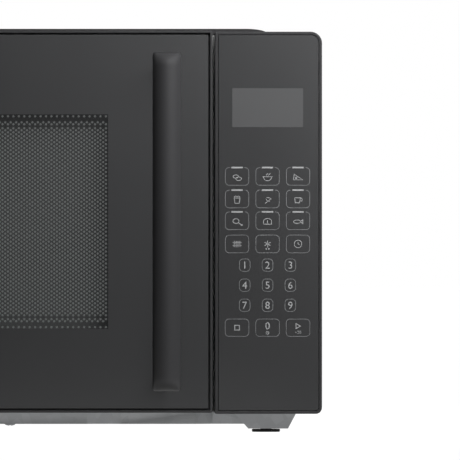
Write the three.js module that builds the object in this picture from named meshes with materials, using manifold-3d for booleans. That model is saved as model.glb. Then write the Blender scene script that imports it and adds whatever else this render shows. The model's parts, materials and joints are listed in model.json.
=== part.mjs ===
// Countertop microwave oven, built up as its separate pieces.
// Millimetres. +Z is up, the door faces -Y and its handle is on the right (+X).
// The origin is on the table, under the middle of the whole object.

import * as THREE from 'three';
import { mergeVertices } from 'three/addons/utils/BufferGeometryUtils.js';
import Module from 'manifold-3d';

const wasm = await Module();
wasm.setup();

// ---------------------------------------------------------------- driving dimensions

// Overall size
const overallWidth = 440;
const overallHeight = 258.1;
const overallDepth = 358; // handle and rear spacer included

// Clearances
const seatGap = 0.3; // between two pieces that rest on each other
const runningGap = 0.1; // around a pin that turns in a hole
const slidingGap = 0.8; // around a piece that slides or swings past another

// Door and control panel
const doorDepth = 27;
const doorRise = 0.7; // the door stands this much higher than the control panel
const doorGap = 1.6; // between the door and the control panel
const doorClearance = 1.2; // between the door's back and the front plate
const doorRim = 1.5;
const rimGap = 1.2; // shadow line between a rim and its glass
const frameWall = 2.2;
const frameLedge = 12;
const doorGlassThickness = 3;
const panelWidth = 68.3;
const panelRim = 1.9;
const panelGlassThickness = 2.2;
const fasciaBottom = 11.9; // lower edge of the control panel above the table
const fasciaDrop = 2.4; // top of the control panel below the cover's crown
const upperCorner = 7.3; // outer corner radii of the fascia
const lowerCorner = 4;
const innerCorner = 1;

// Handle
const handleWidth = 18.1;
const handleInset = 20; // from the door's free edge
const handleEndInset = 13.9; // from the door's top and bottom
const handleProjection = 34;
const handleBar = 10; // thickness of the grip
const handleLeg = 20; // height of each leg
const handleEndRadius = 9;
const screwRadius = 2;

// Sheet metal
const coverSheet = 1;
const linerSheet = 1;
const baseSheet = 1;
const plateSheet = 1.2;
const coverInset = 1; // the cover stands this far inside the fascia's side
const shoulderDrop = 3.1; // the cover's flat top below its raised crown
const crownInset = 34.7; // crown's foot from the side of the object
const crownEase = 13.8; // width of the crown's rounded shoulder
const crownEndInset = 14; // crown's ends from the cover's front and back edges
const coverCorner = 7;
const spacerDepth = 8;

// Cavity
const cavityFloor = 30; // height of the cavity's floor above the table
const cavityHeadroom = 22.1; // from the cavity's ceiling to the crown
const cavityLeftInset = 17;
const bayWidth = 117; // from the cavity's right wall to the side of the object
const rearSpace = 9.6; // behind the cavity's back wall
const windowInset = 15; // clear window inside the cavity's side walls
const windowMargin = 48; // clear window below the door's top and above its bottom
const screenOverlap = 5; // screen and inner window past the edge of their opening

// Turntable
const trayClearance = 15.5; // from the tray's rim to the nearest cavity wall
const trayThickness = 5;
const trayRimRise = 7;
const trayRimWidth = 17.5;
const rollerInset = 37.5; // roller track inside the tray's rim
const rollerRadius = 8.5;
const rollerWidth = 8;
const rollerBore = 2.3;
const ringWidth = 8;
const couplerStem = 5;
const couplerReach = 22;
const motorRadius = 25;

// Base
const podHeight = 2.2; // underside of a foot pod above the table
const trayUnderside = 5.2; // underside of the base tray above the table
const baseRise = 13.2; // top of the base plate
const skirtSetback = 2; // the base's front wall behind the front plate's face
const skirtStep = 8; // how far the wall steps back beside the front feet
const footInset = 35.7; // foot centre from the side
const footSetback = 16; // foot centre from the base's front and back walls
const footRadius = 9;
const stemRadius = 3.5;
const traySideInset = 21;
const fluteDistance = 103.4; // flute centre from the foot centre
const fluteHalfWidth = 11.5;
const fluteDepth = 3.2;

// Hinges and latch
const pivotFromEdge = 8; // hinge axis from the door's left edge
const pivotFromBack = 12; // hinge axis in front of the door's back face
const pinRadius = 2.4;
const earHalfWidth = 5;
const earThickness = 2;
const earFromEdge = 5.5; // hinge ear below the door's top, and above its bottom
const latchFromEdge = 9.6; // hook plate from the door's free edge
const latchThickness = 3;
const latchTravel = 4;
const hookReach = 22; // hooks past the door's back
const hookNose = 3;
const plungerTravel = 1;

// Display window on the control panel
const displayWidth = 45.2;
const displayHeight = 24.8;
const displayFromTop = 36.1;

// ---------------------------------------------------------------- places worked out from them

const sideLeft = -overallWidth / 2;
const sideRight = overallWidth / 2;
const panelLeft = sideRight - panelWidth;
const doorRight = panelLeft - doorGap;
const fasciaTop = overallHeight - fasciaDrop;
const doorBottom = fasciaBottom + doorRise;
const doorTop = fasciaTop + doorRise;
const doorMiddle = (doorBottom + doorTop) / 2;

const doorFront = -overallDepth / 2 + handleProjection;
const doorBack = doorFront + doorDepth;
const plateFront = doorBack + doorClearance;
const plateBack = plateFront + plateSheet;
const coverBack = overallDepth / 2 - spacerDepth;

const cavityX = [sideLeft + cavityLeftInset, sideRight - bayWidth];
const cavityZ = [cavityFloor, overallHeight - cavityHeadroom];
const cavityY = [plateBack + seatGap, coverBack - rearSpace - linerSheet];
const cavityCentreX = (cavityX[0] + cavityX[1]) / 2;
const cavityCentreY = (cavityY[0] + cavityY[1]) / 2;
const bayLeft = cavityX[1] + linerSheet;

const windowX = [cavityX[0] + windowInset, cavityX[1] - windowInset];
const windowZ = [doorBottom + windowMargin, doorTop - windowMargin];
const screenX = [windowX[0] - screenOverlap, windowX[1] + screenOverlap];
const screenZ = [windowZ[0] - screenOverlap, windowZ[1] + screenOverlap];

const coverX = [sideLeft + coverInset, sideRight - coverInset];
const coverTop = overallHeight - shoulderDrop;
const plateX = [coverX[0] + coverSheet + 0.5, coverX[1] - coverSheet - 0.5];
const plateZ = [baseRise + seatGap, coverTop - coverSheet - 0.5];
const deckHeight = trayUnderside + baseSheet + seatGap; // what stands on the base starts here

const pivot = new THREE.Vector2(sideLeft + pivotFromEdge, doorBack - pivotFromBack);

// ---------------------------------------------------------------- shape helpers

const axisX = new THREE.Vector3(1, 0, 0);
const axisY = new THREE.Vector3(0, 1, 0);
const axisZ = new THREE.Vector3(0, 0, 1);

// A box from its three ranges.
function block(x, y, z) {
  const geometry = new THREE.BoxGeometry(x[1] - x[0], y[1] - y[0], z[1] - z[0]);
  return geometry.translate((x[0] + x[1]) / 2, (y[0] + y[1]) / 2, (z[0] + z[1]) / 2);
}

// A range widened by the same amount at both ends.
function grow(range, amount) {
  return [range[0] - amount, range[1] + amount];
}

// A range of the given length about a middle value.
function about(middle, length) {
  return [middle - length / 2, middle + length / 2];
}

// A rectangle with its own radius at each corner: lower left, lower right, upper right, upper left.
// A radius of 0 leaves the corner sharp.
function roundedOutline(u, v, corners) {
  const quarter = Math.PI / 2;
  const centres = corners.map((radius, i) => [
    i === 0 || i === 3 ? u[0] + radius : u[1] - radius,
    i < 2 ? v[0] + radius : v[1] - radius,
  ]);
  const shape = new THREE.Shape();
  corners.forEach((radius, i) => {
    const [x, y] = centres[i];
    const start = (i + 2) * quarter;
    if (i === 0) {
      shape.moveTo(x - radius, y);
    } else {
      shape.lineTo(x + radius * Math.cos(start), y + radius * Math.sin(start));
    }
    if (radius > 0) {
      shape.absarc(x, y, radius, start, start + quarter);
    }
  });
  shape.lineTo(centres[0][0] - corners[0], centres[0][1]);
  return shape;
}

function extrude(shape, length, arcSteps) {
  return new THREE.ExtrudeGeometry(shape, { depth: length, bevelEnabled: false, curveSegments: arcSteps });
}

// A shape drawn in Y and Z, carried along X.
function alongX(shape, x, arcSteps = 4) {
  const turn = new THREE.Matrix4().makeBasis(axisY, axisZ, axisX);
  return extrude(shape, x[1] - x[0], arcSteps).applyMatrix4(turn).translate(x[0], 0, 0);
}

// A shape drawn in X and Z, carried along Y.
function alongY(shape, y, arcSteps = 4) {
  const turn = new THREE.Matrix4().makeBasis(axisX, axisZ, axisY.clone().negate());
  return extrude(shape, y[1] - y[0], arcSteps).applyMatrix4(turn).translate(0, y[1], 0);
}

// A shape drawn in X and Y, carried along Z.
function alongZ(shape, z, arcSteps = 4) {
  return extrude(shape, z[1] - z[0], arcSteps).translate(0, 0, z[0]);
}

// A cylinder along one axis. Its centre is given by its other two coordinates, in X, Y, Z order.
function rod(axis, centre, radius, span, sides = 20) {
  const middle = (span[0] + span[1]) / 2;
  const geometry = new THREE.CylinderGeometry(radius, radius, span[1] - span[0], sides);
  if (axis === 'x') {
    return geometry.rotateZ(-Math.PI / 2).translate(middle, centre[0], centre[1]);
  }
  if (axis === 'y') {
    return geometry.translate(centre[0], middle, centre[1]);
  }
  return geometry.rotateX(Math.PI / 2).translate(centre[0], centre[1], middle);
}

// A body turned about the Z axis, from pairs of radius and height that run anticlockwise.
function turned(pairs, steps) {
  const profile = pairs.map((pair) => new THREE.Vector2(pair[0], pair[1]));
  return new THREE.LatheGeometry(profile, steps).rotateX(Math.PI / 2);
}

// A block whose top and bottom are rectangles of different size.
function tapered(bottom, top, z) {
  const corners = [];
  [bottom, top].forEach((ring, level) => {
    corners.push([ring.x[0], ring.y[0], z[level]], [ring.x[1], ring.y[0], z[level]]);
    corners.push([ring.x[1], ring.y[1], z[level]], [ring.x[0], ring.y[1], z[level]]);
  });
  const faces = [0, 2, 1, 0, 3, 2, 4, 5, 6, 4, 6, 7];
  for (let side = 0; side < 4; side++) {
    const next = (side + 1) % 4;
    faces.push(side, next, next + 4, side, next + 4, side + 4);
  }
  const geometry = new THREE.BufferGeometry();
  geometry.setAttribute('position', new THREE.Float32BufferAttribute(corners.flat(), 3));
  geometry.setIndex(faces);
  return geometry;
}

// The exact solid of a closed geometry, for cutting and joining.
function solid(shape) {
  if (!shape.isBufferGeometry) {
    return shape;
  }
  const bare = shape.clone();
  bare.deleteAttribute('normal');
  bare.deleteAttribute('uv');
  const merged = mergeVertices(bare, 1e-4);
  const triangles = [];
  for (let i = 0; i < merged.index.count; i += 3) {
    const corners = [merged.index.getX(i), merged.index.getX(i + 1), merged.index.getX(i + 2)];
    if (new Set(corners).size === 3) {
      triangles.push(...corners);
    }
  }
  return new wasm.Manifold(new wasm.Mesh({
    numProp: 3,
    vertProperties: new Float32Array(merged.attributes.position.array),
    triVerts: new Uint32Array(triangles),
  }));
}

function join(first, ...others) {
  return others.reduce((whole, next) => whole.add(solid(next)), solid(first));
}

function cut(base, ...tools) {
  return tools.reduce((whole, tool) => whole.subtract(solid(tool)), solid(base));
}

function overlap(first, second) {
  return solid(first).intersect(solid(second));
}

// ---------------------------------------------------------------- materials

function finish(color, roughness, metalness) {
  return new THREE.MeshStandardMaterial({ color, roughness, metalness });
}

const blackPaint = finish(0x101012, 0.45, 0.2);
const blackPlastic = finish(0x1a1a1c, 0.4, 0);
const blackGlass = finish(0x1c1d20, 0.12, 0.1);
const clearSheet = finish(0x5a6468, 0.15, 0);
const galvanised = finish(0x8b8e90, 0.5, 0.85);
const steel = finish(0x77797b, 0.4, 0.9);
const greyEnamel = finish(0xa8aaa8, 0.4, 0.1);
const copper = finish(0xa0522d, 0.4, 0.8);
const rubber = finish(0x141414, 0.85, 0);
const clearGlass = finish(0xcfe0de, 0.08, 0);
const whitePlastic = finish(0xdedcd4, 0.5, 0);
const redPlastic = finish(0x8e2a22, 0.5, 0);
const board = finish(0x2e5a38, 0.6, 0);
const mica = finish(0x9b8f7a, 0.6, 0);
const aluminium = finish(0xa9acb0, 0.35, 0.9);
const ceramic = finish(0xe4e0d6, 0.4, 0);

// ---------------------------------------------------------------- assembly

const oven = new THREE.Group();

// Makes a named piece from a shape and adds it to the oven, or to a group inside it.
function addPiece(name, shape, material, parent = oven) {
  const result = solid(shape).getMesh();
  const geometry = new THREE.BufferGeometry();
  geometry.setAttribute('position', new THREE.BufferAttribute(result.vertProperties, 3));
  geometry.setIndex(new THREE.BufferAttribute(result.triVerts, 1));
  geometry.computeVertexNormals();
  const piece = new THREE.Mesh(geometry, material);
  piece.name = name;
  parent.add(piece);
  return piece;
}

// ---------------------------------------------------------------- outer cover

// Outline of the cover's cross-section, or of its inside when inset is the sheet's thickness.
function coverOutline(inset, top) {
  const bottom = fasciaBottom + 0.6;
  const radius = coverCorner - inset;
  return roundedOutline(grow(coverX, -inset), [bottom, top], [0, 0, radius, radius]);
}

// The crown is a low flat-topped hump whose two shoulders are quarter ellipses.
function crownOutline(inset) {
  const foot = sideRight - crownInset - inset;
  const shape = new THREE.Shape();
  const rise = shoulderDrop;
  const base = coverTop - inset;
  shape.moveTo(-foot, base - coverSheet / 2);
  shape.lineTo(foot, base - coverSheet / 2);
  shape.lineTo(foot, base);
  shape.absellipse(foot - crownEase, base, crownEase, rise, 0, Math.PI / 2, false, 0);
  shape.absellipse(-foot + crownEase, base, crownEase, rise, Math.PI / 2, Math.PI, false, 0);
  shape.lineTo(-foot, base - coverSheet / 2);
  return shape;
}

function addOuterCover() {
  const spanY = [plateFront, coverBack];
  const crownY = grow(spanY, -crownEndInset);
  const outside = join(
    alongY(coverOutline(0, coverTop), spanY),
    alongY(crownOutline(0), crownY),
  );
  const inside = join(
    alongY(coverOutline(coverSheet, coverTop - coverSheet), grow(spanY, 1)),
    block(grow(coverX, -coverSheet), grow(spanY, 1), [0, overallHeight / 2]),
    alongY(crownOutline(coverSheet), grow(crownY, -coverSheet)),
  );
  let cover = cut(outside, inside);

  // Louvre slots: one field low at the front of each side, one higher at the back of the right side.
  const slotHeight = 22;
  const slotWidth = 3;
  const slotPitch = 8;
  const slotCount = 7;
  const fields = [
    { x: coverX[1], y: plateFront + 34, z: 62 },
    { x: coverX[1], y: coverBack - 108, z: overallHeight - 78 },
    { x: coverX[0], y: coverBack - 108, z: overallHeight - 78 },
  ];
  for (const field of fields) {
    for (let i = 0; i < slotCount; i++) {
      const y = about(field.y + i * slotPitch, slotWidth);
      cover = cut(cover, block(about(field.x, 6), y, about(field.z, slotHeight)));
    }
  }
  addPiece('outer_cover', cover, blackPaint);
}

// ---------------------------------------------------------------- base plate and feet

const baseFront = plateFront + skirtSetback;
const baseBack = coverBack - 6;
const footX = sideRight - footInset;
const footY = [baseFront + footSetback, baseBack - footSetback];

// Plan of the base tray. The front wall has a shallow flute on each side and steps back by the feet.
function trayOutline(inset) {
  const side = sideRight - traySideInset - inset;
  const front = baseFront + inset;
  const stepStart = footX - 45.3 - inset / 3;
  const stepEnd = footX - 34.3 - inset / 3;
  const fluteX = footX - fluteDistance;
  const curve = (fluteHalfWidth ** 2 + fluteDepth ** 2) / (2 * fluteDepth);
  const fluteY = baseFront + fluteDepth - curve;
  const radius = curve + inset;
  const angle = Math.asin((front - fluteY) / radius);
  const shape = new THREE.Shape();
  shape.moveTo(-side, front + skirtStep);
  shape.lineTo(-stepEnd, front + skirtStep);
  shape.lineTo(-stepStart, front);
  shape.absarc(-fluteX, fluteY, radius, Math.PI - angle, angle, true);
  shape.absarc(fluteX, fluteY, radius, Math.PI - angle, angle, true);
  shape.lineTo(stepStart, front);
  shape.lineTo(stepEnd, front + skirtStep);
  shape.lineTo(side, front + skirtStep);
  shape.lineTo(side, baseBack - inset);
  shape.lineTo(-side, baseBack - inset);
  return shape;
}

// A stamped pod that carries one foot: a tapered pocket below the base tray.
function footPod(signX, y, inset) {
  const range = (inner, outer) => {
    const ends = [signX * (footX - inner), signX * (footX + outer)];
    return ends.sort((a, b) => a - b);
  };
  const low = { x: grow(range(11.3, 14.1), -inset), y: grow(about(y, 24), -inset) };
  const high = { x: grow(range(21.3, 19.9), -inset), y: grow(about(y, 32), -inset) };
  return tapered(low, high, [podHeight + inset, baseRise + 2 * inset]);
}

function addBase() {
  const rim = block(plateX, [baseFront, baseBack], [baseRise - baseSheet, baseRise]);
  let outside = join(alongZ(trayOutline(0), [trayUnderside, baseRise], 6), rim);
  let inside = solid(alongZ(trayOutline(baseSheet), [trayUnderside + baseSheet, baseRise + 1], 6));
  for (const signX of [-1, 1]) {
    for (const y of footY) {
      outside = join(outside, footPod(signX, y, 0));
      inside = join(inside, footPod(signX, y, baseSheet));
    }
  }
  const lid = block(grow(coverX, 20), grow([baseFront, baseBack], 20), [baseRise, baseRise + 10]);
  let plate = cut(outside, lid, inside);
  for (const signX of [-1, 1]) {
    for (const y of footY) {
      plate = cut(plate, rod('z', [signX * footX, y], stemRadius + seatGap, [0, 8], 16));
    }
  }
  // Way in to the turntable motor, and air slots under the component bay.
  plate = cut(plate, rod('z', [cavityCentreX, cavityCentreY], motorRadius + 4, [0, 8], 28));
  for (let i = 0; i < 7; i++) {
    const y = about(cavityCentreY - 96 + i * 8, 3.5);
    plate = cut(plate, block(about(footX - 40, 44), y, [0, 8]));
  }
  addPiece('base_plate', plate, galvanised);

  const coverTopZ = trayUnderside - seatGap;
  const accessCover = join(
    rod('z', [cavityCentreX, cavityCentreY], motorRadius + 9, [coverTopZ - 1, coverTopZ], 28),
    rod('z', [cavityCentreX, cavityCentreY], motorRadius + 3.5, [coverTopZ - 1, coverTopZ + 1], 28),
  );
  addPiece('motor_access_cover', accessCover, galvanised);
}

// A push-in rubber foot: a round pad, a stem through the pod and a lip that holds it.
function addFeet() {
  const shoulder = podHeight - seatGap;
  const lip = podHeight + baseSheet + seatGap;
  const foot = turned([
    [0, 0], [footRadius - 0.6, 0], [footRadius, 0.6], [footRadius, shoulder], [stemRadius, shoulder],
    [stemRadius, lip], [stemRadius + 1.2, lip + 0.4], [stemRadius - 0.6, lip + 3.4], [0, lip + 3.4],
  ], 18);
  const places = {
    foot_front_left: [-footX, footY[0]],
    foot_front_right: [footX, footY[0]],
    foot_rear_left: [-footX, footY[1]],
    foot_rear_right: [footX, footY[1]],
  };
  for (const [name, place] of Object.entries(places)) {
    addPiece(name, foot, rubber).position.set(place[0], place[1], 0);
  }
}

// ---------------------------------------------------------------- front plate, cavity and back

// The front plate and the back panel fill the cover's ends, round top corners included.
const plateCorner = coverCorner - coverSheet - 0.5;
const plateOutline = roundedOutline(plateX, plateZ, [0, 0, plateCorner, plateCorner]);

const latchX = [doorRight - latchFromEdge - latchThickness, doorRight - latchFromEdge];
const hooks = {
  upper: { z: about(doorMiddle + 57, 7) },
  lower: { z: about(doorMiddle - 53.5, 14) },
};
const hookTip = doorBack + hookReach;
const earZ = {
  upper: [doorTop - earFromEdge - earThickness, doorTop - earFromEdge],
  lower: [doorBottom + earFromEdge, doorBottom + earFromEdge + earThickness],
};

// Space that a hook needs in the front plate and the latch bracket: it swings a little to the right
// as the door opens, and it may be lifted by the latch's travel.
function hookPassage(hook, margin, y) {
  const x = [latchX[0] - slidingGap - margin, latchX[1] + 2 + slidingGap + margin];
  const z = [hook.z[0] - hookNose - slidingGap - margin, hook.z[1] + latchTravel + slidingGap + margin];
  return block(x, y, z);
}

function addFrontPlate() {
  const through = grow([plateFront, plateBack], 1);
  const plate = cut(
    alongY(plateOutline, [plateFront, plateBack]),
    block(cavityX, through, cavityZ),
    block([panelLeft + 5, sideRight - 6], through, [fasciaBottom + 10, fasciaTop - 8]),
    hookPassage(hooks.upper, 0, through),
    hookPassage(hooks.lower, 0, through),
    block([plateX[0] - 1, pivot.x + earHalfWidth + seatGap], through, grow(earZ.upper, seatGap)),
    block([plateX[0] - 1, pivot.x + earHalfWidth + seatGap], through, grow(earZ.lower, seatGap)),
  );
  addPiece('front_plate', plate, greyEnamel);
}

// The magnetron's axis: where the antenna enters the waveguide.
const magnetronY = cavityCentreY + 17;
const magnetronZ = cavityZ[1] - 46;
const apertureY = about(magnetronY, 50);
const apertureZ = about(magnetronZ - 42, 40);
const lampY = cavityY[0] + 76;
const lampZ = cavityZ[1] - 30;

function addCavity() {
  const outside = block(grow(cavityX, linerSheet), [cavityY[0], cavityY[1] + linerSheet],
    grow(cavityZ, linerSheet));
  const inside = block(cavityX, [cavityY[0] - 1, cavityY[1]], cavityZ);
  const rightWall = [cavityX[1] - 1, cavityX[1] + linerSheet + 1];
  let liner = cut(
    outside,
    inside,
    rod('z', [cavityCentreX, cavityCentreY], couplerStem + slidingGap, [cavityFloor - 4, cavityFloor + 4]),
    block(rightWall, apertureY, apertureZ),
  );
  // Rows of light and air holes: in front of the lamp, and high on the left for the steam.
  const leftWall = [cavityX[0] - linerSheet - 1, cavityX[0] + 1];
  for (let row = 0; row < 2; row++) {
    for (let column = 0; column < 5; column++) {
      const y = lampY + (column - 2) * 7;
      const z = lampZ + (row - 0.5) * 7;
      liner = cut(liner, rod('x', [y, z], 1.8, rightWall, 6), rod('x', [y, z], 1.8, leftWall, 6));
    }
  }
  addPiece('cavity_liner', liner, greyEnamel);

  const sheetX = [cavityX[1] - seatGap - 0.8, cavityX[1] - seatGap];
  addPiece('waveguide_cover', block(sheetX, grow(apertureY, 7), grow(apertureZ, 7)), mica);
}

const fanX = (bayLeft + coverX[1]) / 2;
const fanZ = overallHeight - 93.1;
const glandX = sideRight - 52;
const glandZ = 44;
const glandNeck = 7;

function addBack() {
  const sheetY = [coverBack - 1, coverBack];
  const through = grow(sheetY, 1);
  let panel = solid(alongY(plateOutline, sheetY));
  for (let i = 0; i < 9; i++) {
    const offset = (i - 4) * 9;
    const length = 2 * Math.sqrt(44 ** 2 - offset ** 2);
    panel = cut(panel, block(about(fanX, length), through, about(fanZ + offset, 4)));
  }
  for (let i = 0; i < 12; i++) {
    const x = about(cavityX[0] + 40 + i * 9, 4);
    panel = cut(panel, block(x, through, about(cavityZ[1] - 22, 26)));
  }
  panel = cut(panel, rod('y', [glandX, glandZ], glandNeck + seatGap, through, 20));
  addPiece('back_panel', panel, galvanised);

  // The gland is a grommet with a groove for the panel and a bore for the cord.
  const gland = turned([
    [3.6, 1 - spacerDepth], [glandNeck, 1 - spacerDepth],
    [glandNeck + 2.5, -seatGap - 3], [glandNeck + 2.5, -seatGap],
    [glandNeck, -seatGap], [glandNeck, 1 + seatGap], [glandNeck + 2, 1 + seatGap],
    [glandNeck + 0.6, 6], [3.6, 6], [3.6, 1 - spacerDepth],
  ], 16);
  const glandPiece = addPiece('cord_gland', gland, rubber);
  glandPiece.rotation.x = Math.PI / 2;
  glandPiece.position.set(glandX, coverBack, glandZ);

  const spacerY = [coverBack + seatGap, overallDepth / 2];
  const spacer = join(
    block(about(cavityCentreX, 60), [spacerY[0], spacerY[0] + 2], about(cavityZ[1] - 60, 20)),
    block(about(cavityCentreX, 44), spacerY, about(cavityZ[1] - 60, 8)),
  );
  addPiece('rear_spacer', spacer, blackPlastic);
}

// ---------------------------------------------------------------- hinges

// A bracket behind the front plate, with an ear that reaches into the door and carries the pin.
function addHinge(name, ear, side) {
  const flangeY = [plateBack + seatGap, plateBack + seatGap + 1.5];
  const earX = about(pivot.x, 2 * earHalfWidth);
  const flangeZ = side > 0 ? [ear[0] - 10, ear[1]] : [ear[0], ear[1] + 8];
  const pinZ = side > 0 ? [ear[0] - 5, ear[0] + 0.5] : [ear[1] - 0.5, ear[1] + 5];
  addPiece(name, join(
    block(earX, [pivot.y, flangeY[1]], ear),
    rod('z', [pivot.x, pivot.y], earHalfWidth, ear, 20),
    rod('z', [pivot.x, pivot.y], pinRadius, pinZ, 24),
    block([plateX[0] + 0.3, earX[1]], flangeY, flangeZ),
  ), steel);
}

// ---------------------------------------------------------------- door

const ledgeBack = doorFront + doorGlassThickness + seatGap + 2;
const panY = [doorFront + 13, doorBack - 3.5];
const panX = [pivot.x - 3.5, latchX[0] - 6];
const panZ = [earZ.lower[1] + 2, earZ.upper[0] - 2];
const backCorner = 6; // the door's back left edge is rounded so that it swings clear

// Plan of the door, or of the pocket behind its frame when inset is the wall's thickness.
function doorPlan(inset, front) {
  const x = [sideLeft + inset, doorRight - inset];
  const radius = backCorner - inset;
  const arcX = sideLeft + backCorner;
  const arcY = doorBack - backCorner;
  const shape = new THREE.Shape();
  shape.moveTo(x[0], front);
  shape.lineTo(x[1], front);
  shape.lineTo(x[1], doorBack + inset);
  shape.lineTo(arcX, doorBack + inset);
  if (inset > 0) {
    shape.lineTo(arcX, arcY + radius);
  }
  shape.absarc(arcX, arcY, radius, Math.PI / 2, Math.PI, false);
  shape.lineTo(x[0], front);
  return shape;
}

function addDoorFrame() {
  const x = [sideLeft, doorRight];
  const z = [doorBottom, doorTop];
  const corners = [lowerCorner, innerCorner, innerCorner, upperCorner];
  const inner = (inset) => corners.map((radius) => Math.max(radius - inset, 0.3));
  const outside = overlap(
    alongY(roundedOutline(x, z, corners), [doorFront, doorBack]),
    alongZ(doorPlan(0, doorFront), grow(z, 1)),
  );
  const recess = roundedOutline(grow(x, -doorRim), grow(z, -doorRim), inner(doorRim));
  const pocket = roundedOutline(grow(x, -frameWall), grow(z, -frameWall), inner(frameWall));
  const frame = cut(
    outside,
    alongY(recess, [doorFront - 1, doorFront + doorGlassThickness + seatGap]),
    block(grow(x, -frameLedge), [doorFront, doorBack - 10], grow(z, -frameLedge)),
    overlap(
      alongY(pocket, [ledgeBack, doorBack + 1]),
      alongZ(doorPlan(frameWall, ledgeBack), z),
    ),
    earNotch(earZ.upper),
    earNotch(earZ.lower),
  );
  addPiece('door_frame', frame, blackPlastic);
}

// The fixed ear sweeps through this slot at the door's left edge as the door opens.
function earNotch(ear) {
  const x = [sideLeft - 1, pivot.x + earHalfWidth + slidingGap];
  return block(x, [pivot.y - 7.5, doorBack + 1], grow(ear, slidingGap));
}

function addDoorInside() {
  const glassInset = doorRim + rimGap;
  const glassX = [sideLeft + glassInset, doorRight - glassInset];
  const glassZ = [doorBottom + glassInset, doorTop - glassInset];
  const glassY = [doorFront, doorFront + doorGlassThickness];
  const glassCorners = [lowerCorner, innerCorner, innerCorner, upperCorner]
    .map((radius) => Math.max(radius - glassInset, 0.6));
  const screwHoles = screwZ.map((z) => (
    rod('y', [handleMiddle, z], screwRadius + slidingGap, grow(glassY, 1), 16)
  ));
  addPiece('door_glass', cut(alongY(roundedOutline(glassX, glassZ, glassCorners), glassY),
    ...screwHoles), blackGlass);

  // Steel pan: a plate with a window, its edges folded back to make the choke.
  const pan = cut(
    block(panX, panY, panZ),
    block(grow(panX, -linerSheet), [panY[0] + linerSheet, panY[1] + 1], grow(panZ, -linerSheet)),
    block(windowX, [panY[0] - 1, panY[1]], windowZ),
    rod('z', [pivot.x, pivot.y], pinRadius + runningGap, [panZ[0] - 1, panZ[0] + 3], 24),
    rod('z', [pivot.x, pivot.y], pinRadius + runningGap, [panZ[1] - 3, panZ[1] + 1], 24),
  );
  addPiece('door_panel', pan, greyEnamel);

  const screenY = panY[0] + linerSheet + seatGap;
  addPiece('mesh_screen', block(screenX, [screenY, screenY + 0.6], screenZ), steel);

  const chokeY = [panY[1] + 0.7, doorBack - 0.8];
  addPiece('inner_window', block(screenX, [chokeY[0] - 2, chokeY[0] - seatGap], screenZ), clearSheet);

  const chokeX = [sideLeft + backCorner + seatGap, doorRight - frameWall - seatGap];
  const chokeZ = [doorBottom + frameWall + seatGap, doorTop - frameWall - seatGap];
  const notchX = [chokeX[0] - 1, pivot.x + earHalfWidth + slidingGap];
  const chokeThrough = grow(chokeY, 1);
  const slot = (hook) => block(grow(latchX, slidingGap), chokeThrough,
    [hook.z[0] - slidingGap, hook.z[1] + latchTravel + slidingGap]);
  addPiece('choke_cover', cut(
    block(chokeX, chokeY, chokeZ),
    block(windowX, chokeThrough, windowZ),
    block(notchX, chokeThrough, [chokeZ[0] - 1, earZ.lower[1] + slidingGap]),
    block(notchX, chokeThrough, [earZ.upper[0] - slidingGap, chokeZ[1] + 1]),
    slot(hooks.upper),
    slot(hooks.lower),
  ), blackPlastic);
}

// ---------------------------------------------------------------- handle

const handleX = [doorRight - handleInset - handleWidth, doorRight - handleInset];
const handleMiddle = (handleX[0] + handleX[1]) / 2;
const handleZ = [doorBottom + handleEndInset, doorTop - handleEndInset];
const handleBack = doorFront - seatGap;
const screwZ = [handleZ[0] + handleLeg / 2, handleZ[1] - handleLeg / 2];

function addHandle() {
  // Side view: a straight grip with a leg at each end, its outer corners rounded.
  const front = -overallDepth / 2;
  const side = roundedOutline([front, handleBack], handleZ, [handleEndRadius, 0, 0, handleEndRadius]);
  const fingerSpace = roundedOutline([front + handleBar, handleBack + 9],
    grow(handleZ, -handleLeg), [6, 0, 0, 6]);
  // Plan view: flat sides and a bowed front.
  const bow = 5;
  const bowRadius = ((handleWidth / 2) ** 2 + bow ** 2) / (2 * bow);
  const bowY = front + bowRadius;
  const bowAngle = Math.asin(handleWidth / 2 / bowRadius);
  const plan = new THREE.Shape();
  plan.moveTo(handleX[1], handleBack);
  plan.lineTo(handleX[0], handleBack);
  plan.absarc(handleMiddle, bowY, bowRadius, -Math.PI / 2 - bowAngle, -Math.PI / 2 + bowAngle, false);
  const pilots = screwZ.map((z) => (
    rod('y', [handleMiddle, z], screwRadius + seatGap, [handleBack - 16, handleBack + 1], 16)
  ));
  addPiece('handle', cut(
    overlap(alongX(side, handleX, 6), alongZ(plan, grow(handleZ, 1), 9)),
    alongX(fingerSpace, grow(handleX, 1), 4),
    ...pilots,
  ), blackPlastic);

  const headFront = doorFront + doorGlassThickness + seatGap;
  ['handle_screw_lower', 'handle_screw_upper'].forEach((name, i) => {
    addPiece(name, join(
      rod('y', [handleMiddle, screwZ[i]], screwRadius, [handleBack - 15, headFront + 1], 16),
      rod('y', [handleMiddle, screwZ[i]], 2 * screwRadius, [headFront, headFront + 2.4], 16),
    ), steel);
  });
}

// ---------------------------------------------------------------- latch and interlock

const latchBarZ = [hooks.lower.z[0] - 12, hooks.upper.z[1] + 12];
const latchBarY = [doorFront + 10, doorFront + 20];

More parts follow.
